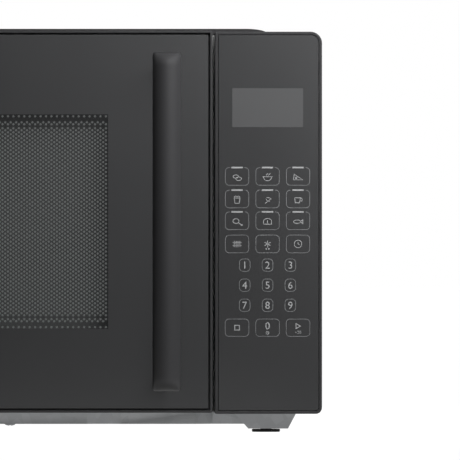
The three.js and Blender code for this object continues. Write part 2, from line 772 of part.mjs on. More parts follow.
function addLatch() {
  let plate = solid(block(latchX, latchBarY, latchBarZ));
  for (const hook of Object.values(hooks)) {
    plate = join(
      plate,
      block(latchX, [latchBarY[1] - 1, hookTip], hook.z),
      block(latchX, [hookTip - 5, hookTip], [hook.z[0] - hookNose, hook.z[0] + 1]),
    );
  }
  addPiece('latch_hooks', plate, whitePlastic);

  const springCentre = [(latchX[0] + latchX[1]) / 2, (latchBarY[0] + latchBarY[1]) / 2];
  const springZ = [latchBarZ[0] - 16, latchBarZ[0] - seatGap];
  addPiece('latch_spring', cut(
    rod('z', springCentre, 2.6, springZ, 16),
    rod('z', springCentre, 1.6, grow(springZ, 1), 16),
  ), steel);

  // Bracket behind the front plate: a flange, a side web and a shelf under each hook.
  const bracketZ = [hooks.lower.z[0] - 18, hooks.upper.z[1] + 18];
  const bracketX = [latchX[0] - 7.5, latchX[1] + 11];
  const flangeY = [plateBack + seatGap, plateBack + seatGap + 1.8];
  const webX = [bracketX[1] - 1.8, bracketX[1]];
  const webBack = hookTip + 24;
  let bracket = join(
    block(bracketX, flangeY, bracketZ),
    block(webX, [flangeY[0], webBack], bracketZ),
  );
  for (const hook of Object.values(hooks)) {
    const shelfTop = hook.z[0] - hookNose - slidingGap;
    bracket = join(
      cut(bracket, hookPassage(hook, 0.2, grow(flangeY, 0.5))),
      block([latchX[0] - 4, webX[1]], [flangeY[0], hookTip - 1], [shelfTop - 2, shelfTop - 0.2]),
    );
  }
  addPiece('latch_bracket', bracket, whitePlastic);

  const switchPlaces = {
    primary: (hooks.upper.z[0] + hooks.upper.z[1]) / 2,
    secondary: hooks.lower.z[0] + 2.1,
    monitor: hooks.lower.z[1] - 1.9,
  };
  const plungerX = grow(latchX, -0.3);
  const bodyFront = hookTip + 2.3;
  const plungerBack = bodyFront + 4;
  for (const [name, z] of Object.entries(switchPlaces)) {
    const plungerZ = about(z, 2.4);
    const bodyX = [webX[0] - 0.5 - 26, webX[0] - 0.5];
    addPiece(`${name}_switch`, cut(
      block(bodyX, [bodyFront, bodyFront + 16], about(z, 9.6)),
      block(grow(plungerX, seatGap), [bodyFront - 1, plungerBack + plungerTravel + 0.5],
        grow(plungerZ, seatGap)),
    ), blackPlastic);
    addPiece(`${name}_plunger`, block(plungerX, [hookTip + seatGap, plungerBack], plungerZ), redPlastic);
  }
}

// ---------------------------------------------------------------- control panel

const panelBack = plateFront - seatGap;

function addControlPanel() {
  const x = [panelLeft, sideRight];
  const z = [fasciaBottom, fasciaTop];
  const corners = [innerCorner, lowerCorner, upperCorner, innerCorner];
  const inner = (inset) => corners.map((radius) => Math.max(radius - inset, 0.3));
  const shell = (inset) => roundedOutline(grow(x, -inset), grow(z, -inset), inner(inset));
  const glassY = [doorFront, doorFront + panelGlassThickness];
  addPiece('control_frame', cut(
    alongY(shell(0), [doorFront, panelBack]),
    alongY(shell(panelRim), [doorFront - 1, glassY[1] + seatGap]),
    block(grow(x, -5), [doorFront, panelBack], grow(z, -7)),
    alongY(shell(frameWall), [glassY[1] + 2, panelBack + 1]),
  ), blackPlastic);
  addPiece('control_glass', alongY(shell(panelRim + seatGap), glassY), blackGlass);

  const displayX = about((x[0] + x[1]) / 2, displayWidth + 6);
  const displayTop = fasciaTop - displayFromTop;
  const displayZ = [displayTop - displayHeight - 3, displayTop + 3];
  const displayY = [glassY[1] + seatGap, glassY[1] + seatGap + 8];
  addPiece('display_module', block(displayX, displayY, displayZ), blackPlastic);

  const boardY = [displayY[1] + seatGap, displayY[1] + seatGap + 1.6];
  addPiece('control_board', block(grow(x, -6), boardY, [fasciaBottom + 24, fasciaTop - 14]), board);
}

// ---------------------------------------------------------------- power and cooling

const guideX = [bayLeft + seatGap, bayLeft + seatGap + 37];
const guideY = about(magnetronY, 70);
const guideZ = [apertureZ[0] - 8, magnetronZ + 30];

function addMicrowaveSource() {
  const guideInside = [guideX[0] - 1, guideX[1] - 1.2];
  addPiece('waveguide', cut(
    block(guideX, guideY, guideZ),
    block(guideInside, grow(guideY, -1.2), grow(guideZ, -1.2)),
    rod('x', [magnetronY, magnetronZ], 12, [guideX[1] - 3, guideX[1] + 1], 20),
  ), galvanised);

  const bodyX = [guideX[1] + seatGap, coverX[1] - coverSheet - 5];
  let magnetron = join(
    block([bodyX[0], bodyX[0] + 2], about(magnetronY, 82), about(magnetronZ, 78)),
    block([bodyX[0] + 1.5, bodyX[1] - 22], about(magnetronY, 78), about(magnetronZ, 66)),
    block([bodyX[1] - 22.5, bodyX[1]], about(magnetronY, 56), about(magnetronZ, 50)),
  );
  // Cooling fins: slots that leave the anode's core whole.
  for (let i = 0; i < 6; i++) {
    const x = about(bodyX[0] + 8 + i * 5.6, 3);
    for (const side of [-1, 1]) {
      magnetron = cut(magnetron, block(x, about(magnetronY, 80), about(magnetronZ + side * 27, 16)));
    }
  }
  addPiece('magnetron', magnetron, aluminium);
  addPiece('magnetron_antenna',
    rod('x', [magnetronY, magnetronZ], 7.5, [guideX[0] + 14, bodyX[0] - seatGap], 20), ceramic);
  addPiece('thermal_cutout', join(
    rod('z', [bodyX[0] + 22, magnetronY], 8, about(magnetronZ + 33 + seatGap + 3, 6), 20),
    block(about(bodyX[0] + 22, 6), about(magnetronY, 24), about(magnetronZ + 33 + seatGap + 1, 1.6)),
  ), blackPlastic);
}

function addPowerSupply() {
  // Laminated core with two windows, and one winding round its middle limb.
  const coreX = about(bayLeft + 48, 80);
  const coreY = about(cavityCentreY - 20, 55);
  const coreZ = [deckHeight, deckHeight + 66];
  const limb = 26;
  const windowWidth = 14;
  const middleX = (coreX[0] + coreX[1]) / 2;
  const windowHeights = grow(coreZ, -13);
  const windowCentre = (limb + windowWidth) / 2;
  const through = grow(coreY, 1);
  addPiece('transformer_core', cut(
    block(coreX, coreY, coreZ),
    block(about(middleX - windowCentre, windowWidth), through, windowHeights),
    block(about(middleX + windowCentre, windowWidth), through, windowHeights),
  ), steel);
  const windingZ = grow(windowHeights, -0.5);
  addPiece('transformer_winding', cut(
    block(about(middleX, limb + 2 * windowWidth - 1), grow(coreY, 13), windingZ),
    block(about(middleX, limb + 1), grow(coreY, 0.5), grow(windingZ, 1)),
  ), copper);

  const canX = about(bayLeft + 48, 84);
  const canY = about(cavityCentreY + 55, 34);
  const canZ = [deckHeight, deckHeight + 52];
  const terminals = [-16, 16].map((offset) => (
    block(about(bayLeft + 48 + offset, 6), about(cavityCentreY + 55, 1.6), [canZ[1] - 1, canZ[1] + 9])
  ));
  addPiece('hv_capacitor', join(
    alongZ(roundedOutline(canX, canY, [14, 14, 14, 14]), canZ, 5),
    ...terminals,
  ), aluminium);
  const diodeY = [canY[1] + 8, canY[1] + 16];
  addPiece('hv_diode', join(
    block(about(bayLeft + 40, 22), diodeY, [deckHeight + 4, deckHeight + 12]),
    rod('z', [bayLeft + 40, (diodeY[0] + diodeY[1]) / 2], 2, [deckHeight, deckHeight + 6], 12),
  ), blackPlastic);

  const boardZ = [fanZ + 62, fanZ + 63.6];
  const boardY = about(coverBack - 32, 46);
  addPiece('filter_board', join(
    block(about(fanX, 92), boardY, boardZ),
    rod('z', [fanX - 28, coverBack - 34], 9, [boardZ[1] - 0.5, boardZ[1] + 12], 16),
    block(about(fanX + 4, 26), about(coverBack - 34, 12), [boardZ[1] - 0.5, boardZ[1] + 12]),
  ), board);
  addPiece('line_fuse', join(
    rod('x', [coverBack - 34, boardZ[1] + 4.2], 3, about(fanX + 33, 22), 12),
    rod('x', [coverBack - 34, boardZ[1] + 4.2], 3.5, about(fanX + 25, 6), 12),
    rod('x', [coverBack - 34, boardZ[1] + 4.2], 3.5, about(fanX + 41, 6), 12),
  ), ceramic);
}

const shroudY = [coverBack - 39, coverBack - 37];
const bladeRadius = 44;

function addFan() {
  const duct = 47;
  const ductBack = shroudY[1] + 18;
  const plateSpan = about(fanX, coverX[1] - bayLeft - 6);
  const shroud = cut(
    join(
      block(plateSpan, shroudY, about(fanZ, 112)),
      rod('y', [fanX, fanZ], duct + 2, [shroudY[0], ductBack], 36),
    ),
    rod('y', [fanX, fanZ], duct, [shroudY[0] - 1, ductBack + 1], 36),
  );
  // Two arms across the opening carry the motor.
  const arms = [-14, 14].map((offset) => (
    block(about(fanX, 2 * duct + 2), shroudY, about(fanZ + offset, 7))
  ));
  addPiece('fan_shroud', join(shroud, ...arms), whitePlastic);

  const motorY = [shroudY[0] - seatGap - 20, shroudY[0] - seatGap];
  addPiece('fan_motor', join(
    block(about(fanX, 52), motorY, about(fanZ, 40)),
    block(about(fanX, 30), [motorY[0] - 6, motorY[1]], [fanZ - 42, fanZ - 19]),
    rod('y', [fanX, fanZ], 11, [motorY[0] - 7, motorY[0] + 1], 20),
  ), steel);

  // Hub, shaft and five pitched blades, about the fan's own axis.
  const fan = new THREE.Group();
  fan.position.set(fanX, shroudY[1] + 10, fanZ);
  oven.add(fan);
  let rotor = join(
    rod('y', [0, 0], 11, [-6, 6], 24),
    rod('y', [0, 0], 2.5, [-11.7, 0], 12),
  );
  const bladeCount = 5;
  for (let i = 0; i < bladeCount; i++) {
    const blade = new THREE.BoxGeometry(26, 1.4, bladeRadius - 10.5);
    blade.translate(0, 0, (bladeRadius + 9) / 2);
    blade.rotateZ(THREE.MathUtils.degToRad(28));
    blade.rotateY((i / bladeCount) * 2 * Math.PI);
    rotor = join(rotor, blade);
  }
  const sweep = rod('y', [0, 0], bladeRadius, [-12, 8], 40);
  addPiece('fan_blade', overlap(rotor, sweep), whitePlastic, fan);
}

function addLamp() {
  const socketX = [bayLeft + 22, bayLeft + 38];
  addPiece('lamp_socket', cut(
    join(
      rod('x', [lampY, lampZ], 10, socketX, 20),
      block([socketX[1] - 3, socketX[1]], about(lampY, 30), about(lampZ, 26)),
    ),
    rod('x', [lampY, lampZ], 7.3, [socketX[0] - 1, socketX[0] + 10], 20),
  ), ceramic);
  const bulb = turned([
    [0, 0], [6, 0.8], [8.2, 4.5], [8.6, 9], [7, 14], [7, 27], [0, 27],
  ], 20).rotateY(Math.PI / 2).translate(bayLeft + 4, lampY, lampZ);
  addPiece('cavity_lamp', bulb, clearGlass);
}

// ---------------------------------------------------------------- turntable

const trayRadius = Math.min(cavityX[1] - cavityX[0], cavityY[1] - cavityY[0]) / 2 - trayClearance;
const trackRadius = trayRadius - rollerInset;
const rollerZ = cavityFloor + rollerRadius + seatGap / 2;
const trayUnder = cavityFloor + 2 * rollerRadius + 2 * seatGap;

function addTurntable() {
  const motorZ = [cavityFloor - linerSheet - seatGap - 14, cavityFloor - linerSheet - seatGap];
  addPiece('turntable_motor', join(
    rod('z', [cavityCentreX, cavityCentreY], motorRadius, motorZ, 28),
    block(about(cavityCentreX, 2 * motorRadius + 14), about(cavityCentreY, 12),
      [motorZ[1] - 1.2, motorZ[1]]),
  ), steel);

  const table = new THREE.Group();
  table.position.set(cavityCentreX, cavityCentreY, 0);
  oven.add(table);

  // Coupler: a stem through the floor, a hub and three arms that drive the tray.
  const couplerTop = trayUnder - seatGap;
  let coupler = join(
    rod('z', [0, 0], couplerStem, [motorZ[1] + seatGap, cavityFloor + 2], 20),
    rod('z', [0, 0], 9, [cavityFloor + 0.8, couplerTop], 24),
  );
  for (let i = 0; i < 3; i++) {
    const arm = block([0, couplerReach], about(0, 7), [cavityFloor + 7, couplerTop]);
    coupler = join(coupler, arm.rotateZ((i / 3) * 2 * Math.PI));
  }
  addPiece('drive_coupler', coupler, whitePlastic, table);

  // Glass tray: a flat dish with a raised rim, and three lugs between the coupler's arms.
  const flat = trayRadius - trayRimWidth;
  const top = trayUnder + trayThickness;
  let tray = solid(turned([
    [0, trayUnder], [flat, trayUnder], [trayRadius - 5, trayUnder + trayRimRise * 0.55],
    [trayRadius - 1, trayUnder + trayRimRise], [trayRadius, trayUnder + trayRimRise + 2.5],
    [trayRadius - 1.6, trayUnder + trayRimRise + 4], [trayRadius - 6, trayUnder + trayRimRise + 2.2],
    [flat - 2, top], [0, top],
  ], 48));
  for (let i = 0; i < 3; i++) {
    const lug = block([13, 20], about(0, 8), [trayUnder - 6, trayUnder + 1]);
    tray = join(tray, lug.rotateZ(((i + 0.5) / 3) * 2 * Math.PI));
  }
  addPiece('glass_tray', tray, clearGlass, table);

  // Roller ring: a flat hoop with three stub axles. Each roller turns on its own axle.
  const hoopOuter = trackRadius - rollerWidth / 2 - 3;
  const hoopZ = about(rollerZ, 6);
  let ring = solid(turned([
    [hoopOuter - ringWidth, hoopZ[0]], [hoopOuter, hoopZ[0]], [hoopOuter, hoopZ[1]],
    [hoopOuter - ringWidth, hoopZ[1]], [hoopOuter - ringWidth, hoopZ[0]],
  ], 40));
  const axleEnd = trackRadius + rollerWidth / 2 + 2;
  for (let i = 0; i < 3; i++) {
    const angle = (i / 3) * 2 * Math.PI + Math.PI / 2;
    const axle = rod('x', [0, rollerZ], rollerBore - runningGap, [hoopOuter - 2, axleEnd], 16);
    ring = join(ring, axle.rotateZ(angle));

    const spoke = new THREE.Group();
    spoke.position.set(0, 0, rollerZ);
    spoke.rotation.z = angle;
    table.add(spoke);
    const span = about(trackRadius, rollerWidth);
    addPiece(`roller_${i + 1}`, cut(
      rod('x', [0, 0], rollerRadius, span, 28),
      rod('x', [0, 0], rollerBore + runningGap, grow(span, 1), 16),
    ), whitePlastic, spoke);
  }
  addPiece('roller_ring', ring, whitePlastic, table);
}

addOuterCover();
addBase();
addFeet();
addFrontPlate();
addCavity();
addBack();
addHinge('hinge_upper', earZ.upper, 1);
addHinge('hinge_lower', earZ.lower, -1);
addDoorFrame();
addDoorInside();
addHandle();
addLatch();
addControlPanel();
addMicrowaveSource();
addPowerSupply();
addFan();
addLamp();
addTurntable();

export default oven;
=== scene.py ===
import json

import bmesh
import bpy
import numpy as np
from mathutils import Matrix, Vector


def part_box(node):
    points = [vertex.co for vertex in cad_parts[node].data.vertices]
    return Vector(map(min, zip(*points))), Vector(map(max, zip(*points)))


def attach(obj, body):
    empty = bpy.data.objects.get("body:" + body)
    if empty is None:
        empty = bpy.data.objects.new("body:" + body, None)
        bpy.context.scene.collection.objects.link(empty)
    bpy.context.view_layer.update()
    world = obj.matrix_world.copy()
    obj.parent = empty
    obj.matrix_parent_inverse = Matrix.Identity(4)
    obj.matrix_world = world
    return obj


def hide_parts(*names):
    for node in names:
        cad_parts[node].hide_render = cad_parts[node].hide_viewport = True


# A countertop microwave oven: a black door with a perforated window and a bowed handle, a touch
# control panel, a black cover with a low crown, and the working parts inside.
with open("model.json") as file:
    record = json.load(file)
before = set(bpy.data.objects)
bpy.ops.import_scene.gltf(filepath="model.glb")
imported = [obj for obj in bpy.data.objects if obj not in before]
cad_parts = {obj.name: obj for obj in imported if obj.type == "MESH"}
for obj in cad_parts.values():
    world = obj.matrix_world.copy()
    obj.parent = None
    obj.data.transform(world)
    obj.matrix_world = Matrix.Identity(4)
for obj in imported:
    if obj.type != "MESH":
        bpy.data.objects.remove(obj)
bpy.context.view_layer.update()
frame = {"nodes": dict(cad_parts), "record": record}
nodes = frame["nodes"]
print("frame:", len(nodes), "nodes")

mm = 0.001
pi = np.pi
bodyOf = {node: body for body, group in frame["record"]["behaviour"]["bodies"].items() for node in group}
slotOf = {part["node"]: part["material_slot"] for part in frame["record"]["subparts"]}


# Shape tools. All points are worked out in millimetres, in the frame's own axes.
meshing = {"joinWithin": 2e-6, "collapseWithin": 1e-7, "sharpAngle": 32, "flatAngle": 0.8,
           "bevelAngle": 35, "smallestRadius": 0.05}


def span(node):
    # lowest and highest corner of a frame piece
    low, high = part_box(node)
    return np.array(low) / mm, np.array(high) / mm


def gridFaces(rows, columns, closeRows=False, closeColumns=False, start=0):
    # one face for every four neighbours of a grid of points; a closed direction wraps round
    r, c = np.meshgrid(np.arange(rows if closeRows else rows - 1),
                       np.arange(columns if closeColumns else columns - 1), indexing="ij")
    r2, c2 = (r + 1) % rows, (c + 1) % columns
    corners = np.stack([r * columns + c, r * columns + c2, r2 * columns + c2, r2 * columns + c], axis=-1)
    return (start + corners.reshape(-1, 4)).tolist()


def roundedRectangle(x, z, radii, inset=0.0, steps=8):
    # four quarter circles joined by straight sides, anticlockwise from the lower left corner
    corners = []
    for i, radius in enumerate(radii):
        r = max(radius - inset, meshing["smallestRadius"])
        cx = x[0] + inset + r if i in (0, 3) else x[1] - inset - r
        cz = z[0] + inset + r if i < 2 else z[1] - inset - r
        angle = (i + 2) * pi / 2 + np.linspace(0, pi / 2, steps + 1)
        corners.append(np.column_stack([cx + r * np.cos(angle), cz + r * np.sin(angle)]))
    return np.vstack(corners)


def standing(outline, y):
    # a flat outline in X and Z, stood up at one Y
    return np.column_stack([outline[:, 0], np.full(len(outline), y), outline[:, 1]])


def insetLoop(loop, distance):
    # every corner of a closed anticlockwise loop moved in by distance, between its two edge normals
    sharpest = 0.3  # keeps a very sharp corner from running away
    edge = np.roll(loop, -1, axis=0) - loop
    edge /= np.linalg.norm(edge, axis=1)[:, None]
    normal = np.column_stack([-edge[:, 1], edge[:, 0]])
    before = np.roll(normal, 1, axis=0)
    along = 1 + (normal * before).sum(axis=1)
    return loop + distance * (normal + before) / np.maximum(along, sharpest)[:, None]


def quarter(radius, steps=4):
    # how far in and how far down each step of a rounded edge lies, from its flat to its side
    angle = np.linspace(0, pi / 2, steps + 1)
    return np.column_stack([radius * (1 - np.sin(angle)), radius * (1 - np.cos(angle))])


def smoothed(mesh, sharp=meshing["sharpAngle"]):
    # smooth shading, with a crease wherever two faces meet at more than the sharp angle
    mesh.polygons.foreach_set("use_smooth", np.ones(len(mesh.polygons), bool))
    mesh.set_sharp_from_angle(angle=np.radians(sharp))
    return mesh


def finishMesh(name, points, faces, sharp=meshing["sharpAngle"], closed=True):
    # puts the points and faces into a mesh, joins doubles, turns a closed skin outwards and smooths it
    mesh = bpy.data.meshes.new(name)
    mesh.from_pydata((np.asarray(points) * mm).tolist(), [], faces)
    work = bmesh.new()
    work.from_mesh(mesh)
    bmesh.ops.remove_doubles(work, verts=work.verts, dist=meshing["joinWithin"])
    bmesh.ops.dissolve_degenerate(work, edges=work.edges, dist=meshing["collapseWithin"])
    if closed:
        bmesh.ops.recalc_face_normals(work, faces=work.faces)
    work.to_mesh(mesh)
    work.free()
    return smoothed(mesh, sharp)


def linked(name, data):
    # an object in the scene that holds the data
    thing = bpy.data.objects.new(name, data)
    bpy.context.scene.collection.objects.link(thing)
    return thing


def asMesh(thing):
    # the thing's shape as a mesh of its own, with its modifiers applied; the thing itself goes
    graph = bpy.context.evaluated_depsgraph_get()
    mesh = bpy.data.meshes.new_from_object(thing.evaluated_get(graph))
    bpy.data.objects.remove(thing)
    return mesh


def place(name, mesh, body, slotName, replaced=(), finish=None):
    # a finished piece: it gets its material, rides on a body and stands for the frame pieces it replaces
    piece = linked(name, mesh)
    piece.data.materials.clear()
    piece.data.materials.append(finish or materials[slotName])
    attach(piece, body)
    if replaced:
        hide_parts(*replaced)
    return piece


def stack(rings, closed=False):
    # rings of equal length joined into a skin; an open stack gets a flat face at each end
    rings = np.asarray(rings, float)
    rows, columns = rings.shape[:2]
    faces = gridFaces(rows, columns, closeRows=closed, closeColumns=True)
    if not closed:
        faces += [list(range(columns)), list(range((rows - 1) * columns, rows * columns))]
    return rings.reshape(-1, 3), faces


def lathe(profile, centre, axis="z", steps=48):
    # pairs of radius and height turned about an axis; the profile starts and ends on the axis or closes
    profile = np.asarray(profile, float)
    angle = np.linspace(0, 2 * pi, steps, endpoint=False)
    radius, height = profile[:, 0][:, None], profile[:, 1][:, None] + 0 * angle
    across, up = radius * np.cos(angle), radius * np.sin(angle)
    order = {"z": (across, up, height), "y": (across, height, up), "x": (height, across, up)}[axis]
    points = np.stack(order, axis=-1).reshape(-1, 3) + np.asarray(centre, float)
    return points, gridFaces(len(profile), steps, closeColumns=True)


def merged(parts):
    # several sets of points and faces as one
    points, faces, start = [], [], 0
    for somePoints, someFaces in parts:
        points.append(np.asarray(somePoints))
        faces += [[corner + start for corner in face] for face in someFaces]
        start += len(somePoints)
    return np.vstack(points), faces


def slab(outline, y, edge):
    # a plate between two depths, its front and back edges rounded; outline gives the loop at an inset
    front = [standing(outline(inset), y[0] + down) for inset, down in quarter(edge)]
    back = [standing(outline(inset), y[1] - down) for inset, down in quarter(edge)[::-1]]
    return stack(front + back)


def block(x, y, z, edge=0.4):
    # a box with rounded edges, stacked up in Z: the upper rings are the lower ones mirrored
    steps = 3
    lower = []
    for inset, down in quarter(edge, steps):
        loop = roundedRectangle(x, y, [edge * 1.01] * 4, inset, steps)
        lower.append(np.column_stack([loop, np.full(len(loop), z[0] + down)]))
    upper = [ring * [1, 1, -1] + [0, 0, z[0] + z[1]] for ring in lower[::-1]]
    return stack(lower + upper)


def carve(mesh, cutter):
    # what is left of a mesh after a cutter has been taken out of it
    base, tool = linked("carved", mesh), linked("cutter", cutter)
    cut = base.modifiers.new("cut", "BOOLEAN")
    cut.operation, cut.solver, cut.object = "DIFFERENCE", "EXACT", tool
    result = asMesh(base)
    bpy.data.objects.remove(tool)
    return smoothed(result)


def polish(node, edge):
    # a copy of a frame piece, its triangles merged into whole faces and its edges rounded
    work = bmesh.new()
    work.from_mesh(nodes[node].data)
    bmesh.ops.remove_doubles(work, verts=work.verts, dist=meshing["joinWithin"])
    bmesh.ops.dissolve_limit(work, angle_limit=np.radians(meshing["flatAngle"]), verts=work.verts,
                             edges=work.edges)
    bmesh.ops.recalc_face_normals(work, faces=work.faces)
    mesh = bpy.data.meshes.new(node)
    work.to_mesh(mesh)
    work.free()
    piece = place(node + "_body", smoothed(mesh), bodyOf[node], slotOf[node], [node])
    bevel = piece.modifiers.new("rounded edges", "BEVEL")
    bevel.width, bevel.segments = edge * mm, 2
    bevel.limit_method, bevel.angle_limit = "ANGLE", np.radians(meshing["bevelAngle"])
    bevel.harden_normals = True
    return piece


# Material tools. A group gives a mask or a height; each material places it with its own values.

def addNode(tree, kind, **settings):
    # a new node with its settings filled in
    made = tree.nodes.new(kind)
    for key, value in settings.items():
        setattr(made, key, value)
    return made


def startGroup(name, inputs, output):
    # a shader group with number inputs and one number output
    tree = bpy.data.node_groups.new(name, "ShaderNodeTree")
    for label, value in inputs.items():
        socket = tree.interface.new_socket(name=label, in_out="INPUT", socket_type="NodeSocketFloat")
        socket.default_value = value
    tree.interface.new_socket(name=output, in_out="OUTPUT", socket_type="NodeSocketFloat")
    return tree, addNode(tree, "NodeGroupInput"), addNode(tree, "NodeGroupOutput")


def numbers(tree, operation, first, second=None, clamp=False):
    # one arithmetic step between two values, each a socket or a number
    step = addNode(tree, "ShaderNodeMath", operation=operation, use_clamp=clamp)
    for socket, value in zip(step.inputs, (first, second)):
        if isinstance(value, (int, float)):
            socket.default_value = value
        elif value is not None:
            tree.links.new(value, socket)
    return step.outputs[0]


def noiseField(tree, scale, detail=3.0, stretch=None):
    # smooth noise on the piece's own coordinates, scale in features per metre
    position = addNode(tree, "ShaderNodeTexCoord").outputs["Object"]
    if stretch:
        mapping = addNode(tree, "ShaderNodeMapping")
        mapping.inputs["Scale"].default_value = stretch
        tree.links.new(position, mapping.inputs["Vector"])
        position = mapping.outputs["Vector"]
    noise = addNode(tree, "ShaderNodeTexNoise")
    noise.inputs["Detail"].default_value = detail
    tree.links.new(position, noise.inputs["Vector"])
    if isinstance(scale, (int, float)):
        noise.inputs["Scale"].default_value = scale
    else:
        tree.links.new(scale, noise.inputs["Scale"])
    return noise.outputs["Fac"]


def edgeWearGroup():
    # bright rubbed edges: where a rounded normal leaves the flat one, broken up by noise
    look = {"samples": 4, "contrast": 5.0}
    tree, given, result = startGroup("edgeWear", {"Width": 0.0006, "Amount": 1.0, "Scale": 90.0}, "Mask")
    bevel = addNode(tree, "ShaderNodeBevel", samples=look["samples"])
    tree.links.new(given.outputs["Width"], bevel.inputs["Radius"])
    dot = addNode(tree, "ShaderNodeVectorMath", operation="DOT_PRODUCT")
    tree.links.new(bevel.outputs["Normal"], dot.inputs[0])
    tree.links.new(addNode(tree, "ShaderNodeNewGeometry").outputs["Normal"], dot.inputs[1])
    turned = numbers(tree, "SUBTRACT", 1.0, dot.outputs["Value"])
    noise = noiseField(tree, given.outputs["Scale"], 4.0)
    broken = numbers(tree, "MULTIPLY", turned, numbers(tree, "MULTIPLY", noise, look["contrast"]))
    strength = numbers(tree, "MULTIPLY", broken, given.outputs["Amount"], True)
    tree.links.new(strength, result.inputs["Mask"])
    return tree


def grainGroup():
    # fine bumps of a moulded or sprayed surface: two sizes of noise, added
    broadScale = 0.04  # of the fine noise's scale
    tree, given, result = startGroup("surfaceGrain", {"Scale": 2500.0, "Waviness": 0.3}, "Height")
    fine = noiseField(tree, given.outputs["Scale"], 2.0)
    broad = noiseField(tree, numbers(tree, "MULTIPLY", given.outputs["Scale"], broadScale), 2.0)
    waves = numbers(tree, "MULTIPLY", broad, given.outputs["Waviness"])
    tree.links.new(numbers(tree, "ADD", fine, waves), result.inputs["Height"])
    return tree


def dustGroup():
    # dust settles on faces that look up, in soft patches: a power of the normal's Z times noise
    steepness = 3.0
    tree, given, result = startGroup("dust", {"Amount": 0.3, "Scale": 30.0}, "Mask")
    parts = addNode(tree, "ShaderNodeSeparateXYZ")
    tree.links.new(addNode(tree, "ShaderNodeNewGeometry").outputs["Normal"], parts.inputs[0])
    upward = numbers(tree, "POWER", numbers(tree, "MAXIMUM", parts.outputs["Z"], 0.0), steepness)
    patches = numbers(tree, "MULTIPLY", upward, noiseField(tree, given.outputs["Scale"], 6.0))
    tree.links.new(numbers(tree, "MULTIPLY", patches, given.outputs["Amount"], True), result.inputs["Mask"])
    return tree


def smudgeGroup():
    # slow change of gloss, as handling leaves it: low noise about zero
    tree, given, result = startGroup("smudge", {"Scale": 14.0, "Amount": 0.1}, "Value")
    level = numbers(tree, "SUBTRACT", noiseField(tree, given.outputs["Scale"], 5.0), 0.5)
    tree.links.new(numbers(tree, "MULTIPLY", level, given.outputs["Amount"]), result.inputs["Value"])
    return tree


def spangleGroup():
    # zinc crystals: flat cells, each with its own tone
    tree, given, result = startGroup("spangle", {"Scale": 140.0}, "Tone")
    cells = addNode(tree, "ShaderNodeTexVoronoi")
    tree.links.new(addNode(tree, "ShaderNodeTexCoord").outputs["Object"], cells.inputs["Vector"])
    tree.links.new(given.outputs["Scale"], cells.inputs["Scale"])
    parts = addNode(tree, "ShaderNodeSeparateColor")
    tree.links.new(cells.outputs["Color"], parts.inputs[0])
    tree.links.new(parts.outputs[0], result.inputs["Tone"])
    return tree


groups = {"edgeWear": edgeWearGroup(), "surfaceGrain": grainGroup(), "dust": dustGroup(),
          "smudge": smudgeGroup(), "spangle": spangleGroup()}


def useGroup(tree, name, **values):
    # one placing of a shared group, with this material's own values; gives the group's output
    made = addNode(tree, "ShaderNodeGroup", node_tree=groups[name])
    for label, value in values.items():
        made.inputs[label].default_value = value
    return made.outputs[0]


def blendColour(tree, mask, first, second):
    # the first colour where the mask is 0, the second where it is 1
    mix = addNode(tree, "ShaderNodeMix", data_type="RGBA")
    tree.links.new(mask, mix.inputs["Factor"])
    for socket, value in ((mix.inputs[6], first), (mix.inputs[7], second)):
        if isinstance(value, (tuple, list)):
            socket.default_value = (*value[:3], 1)
        else:
            tree.links.new(value, socket)
    return mix.outputs[2]


plainLook = {"metal": 0.0, "specular": 0.5, "clear": 0.0, "bend": 1.5, "coat": 0.0, "coatRough": 0.1,
             "glow": 0.0, "spangle": 0.0, "spangleTones": (0.93, 1.05), "mottle": 0.0, "mottleScale": 40.0,
             "wear": 0.0, "wearWidth": 0.0006, "wearColour": [0.3, 0.3, 0.3], "dust": 0.0,
             "dustColour": [0.32, 0.3, 0.28], "smudge": 0.1, "smudgeScale": 14.0, "grain": 0.0,
             "grainScale": 2500.0, "grainDepth": 0.00005, "lines": None}
uniformSockets = {"Metallic": "metal", "Specular IOR Level": "specular", "Transmission Weight": "clear",
                  "IOR": "bend", "Coat Weight": "coat", "Coat Roughness": "coatRough",
                  "Emission Strength": "glow"}


def tones(tree, mask, colour, low, high):
    # a colour that runs from low to high times itself as the mask goes from 0 to 1
    return blendColour(tree, mask, [c * low for c in colour], [c * high for c in colour])


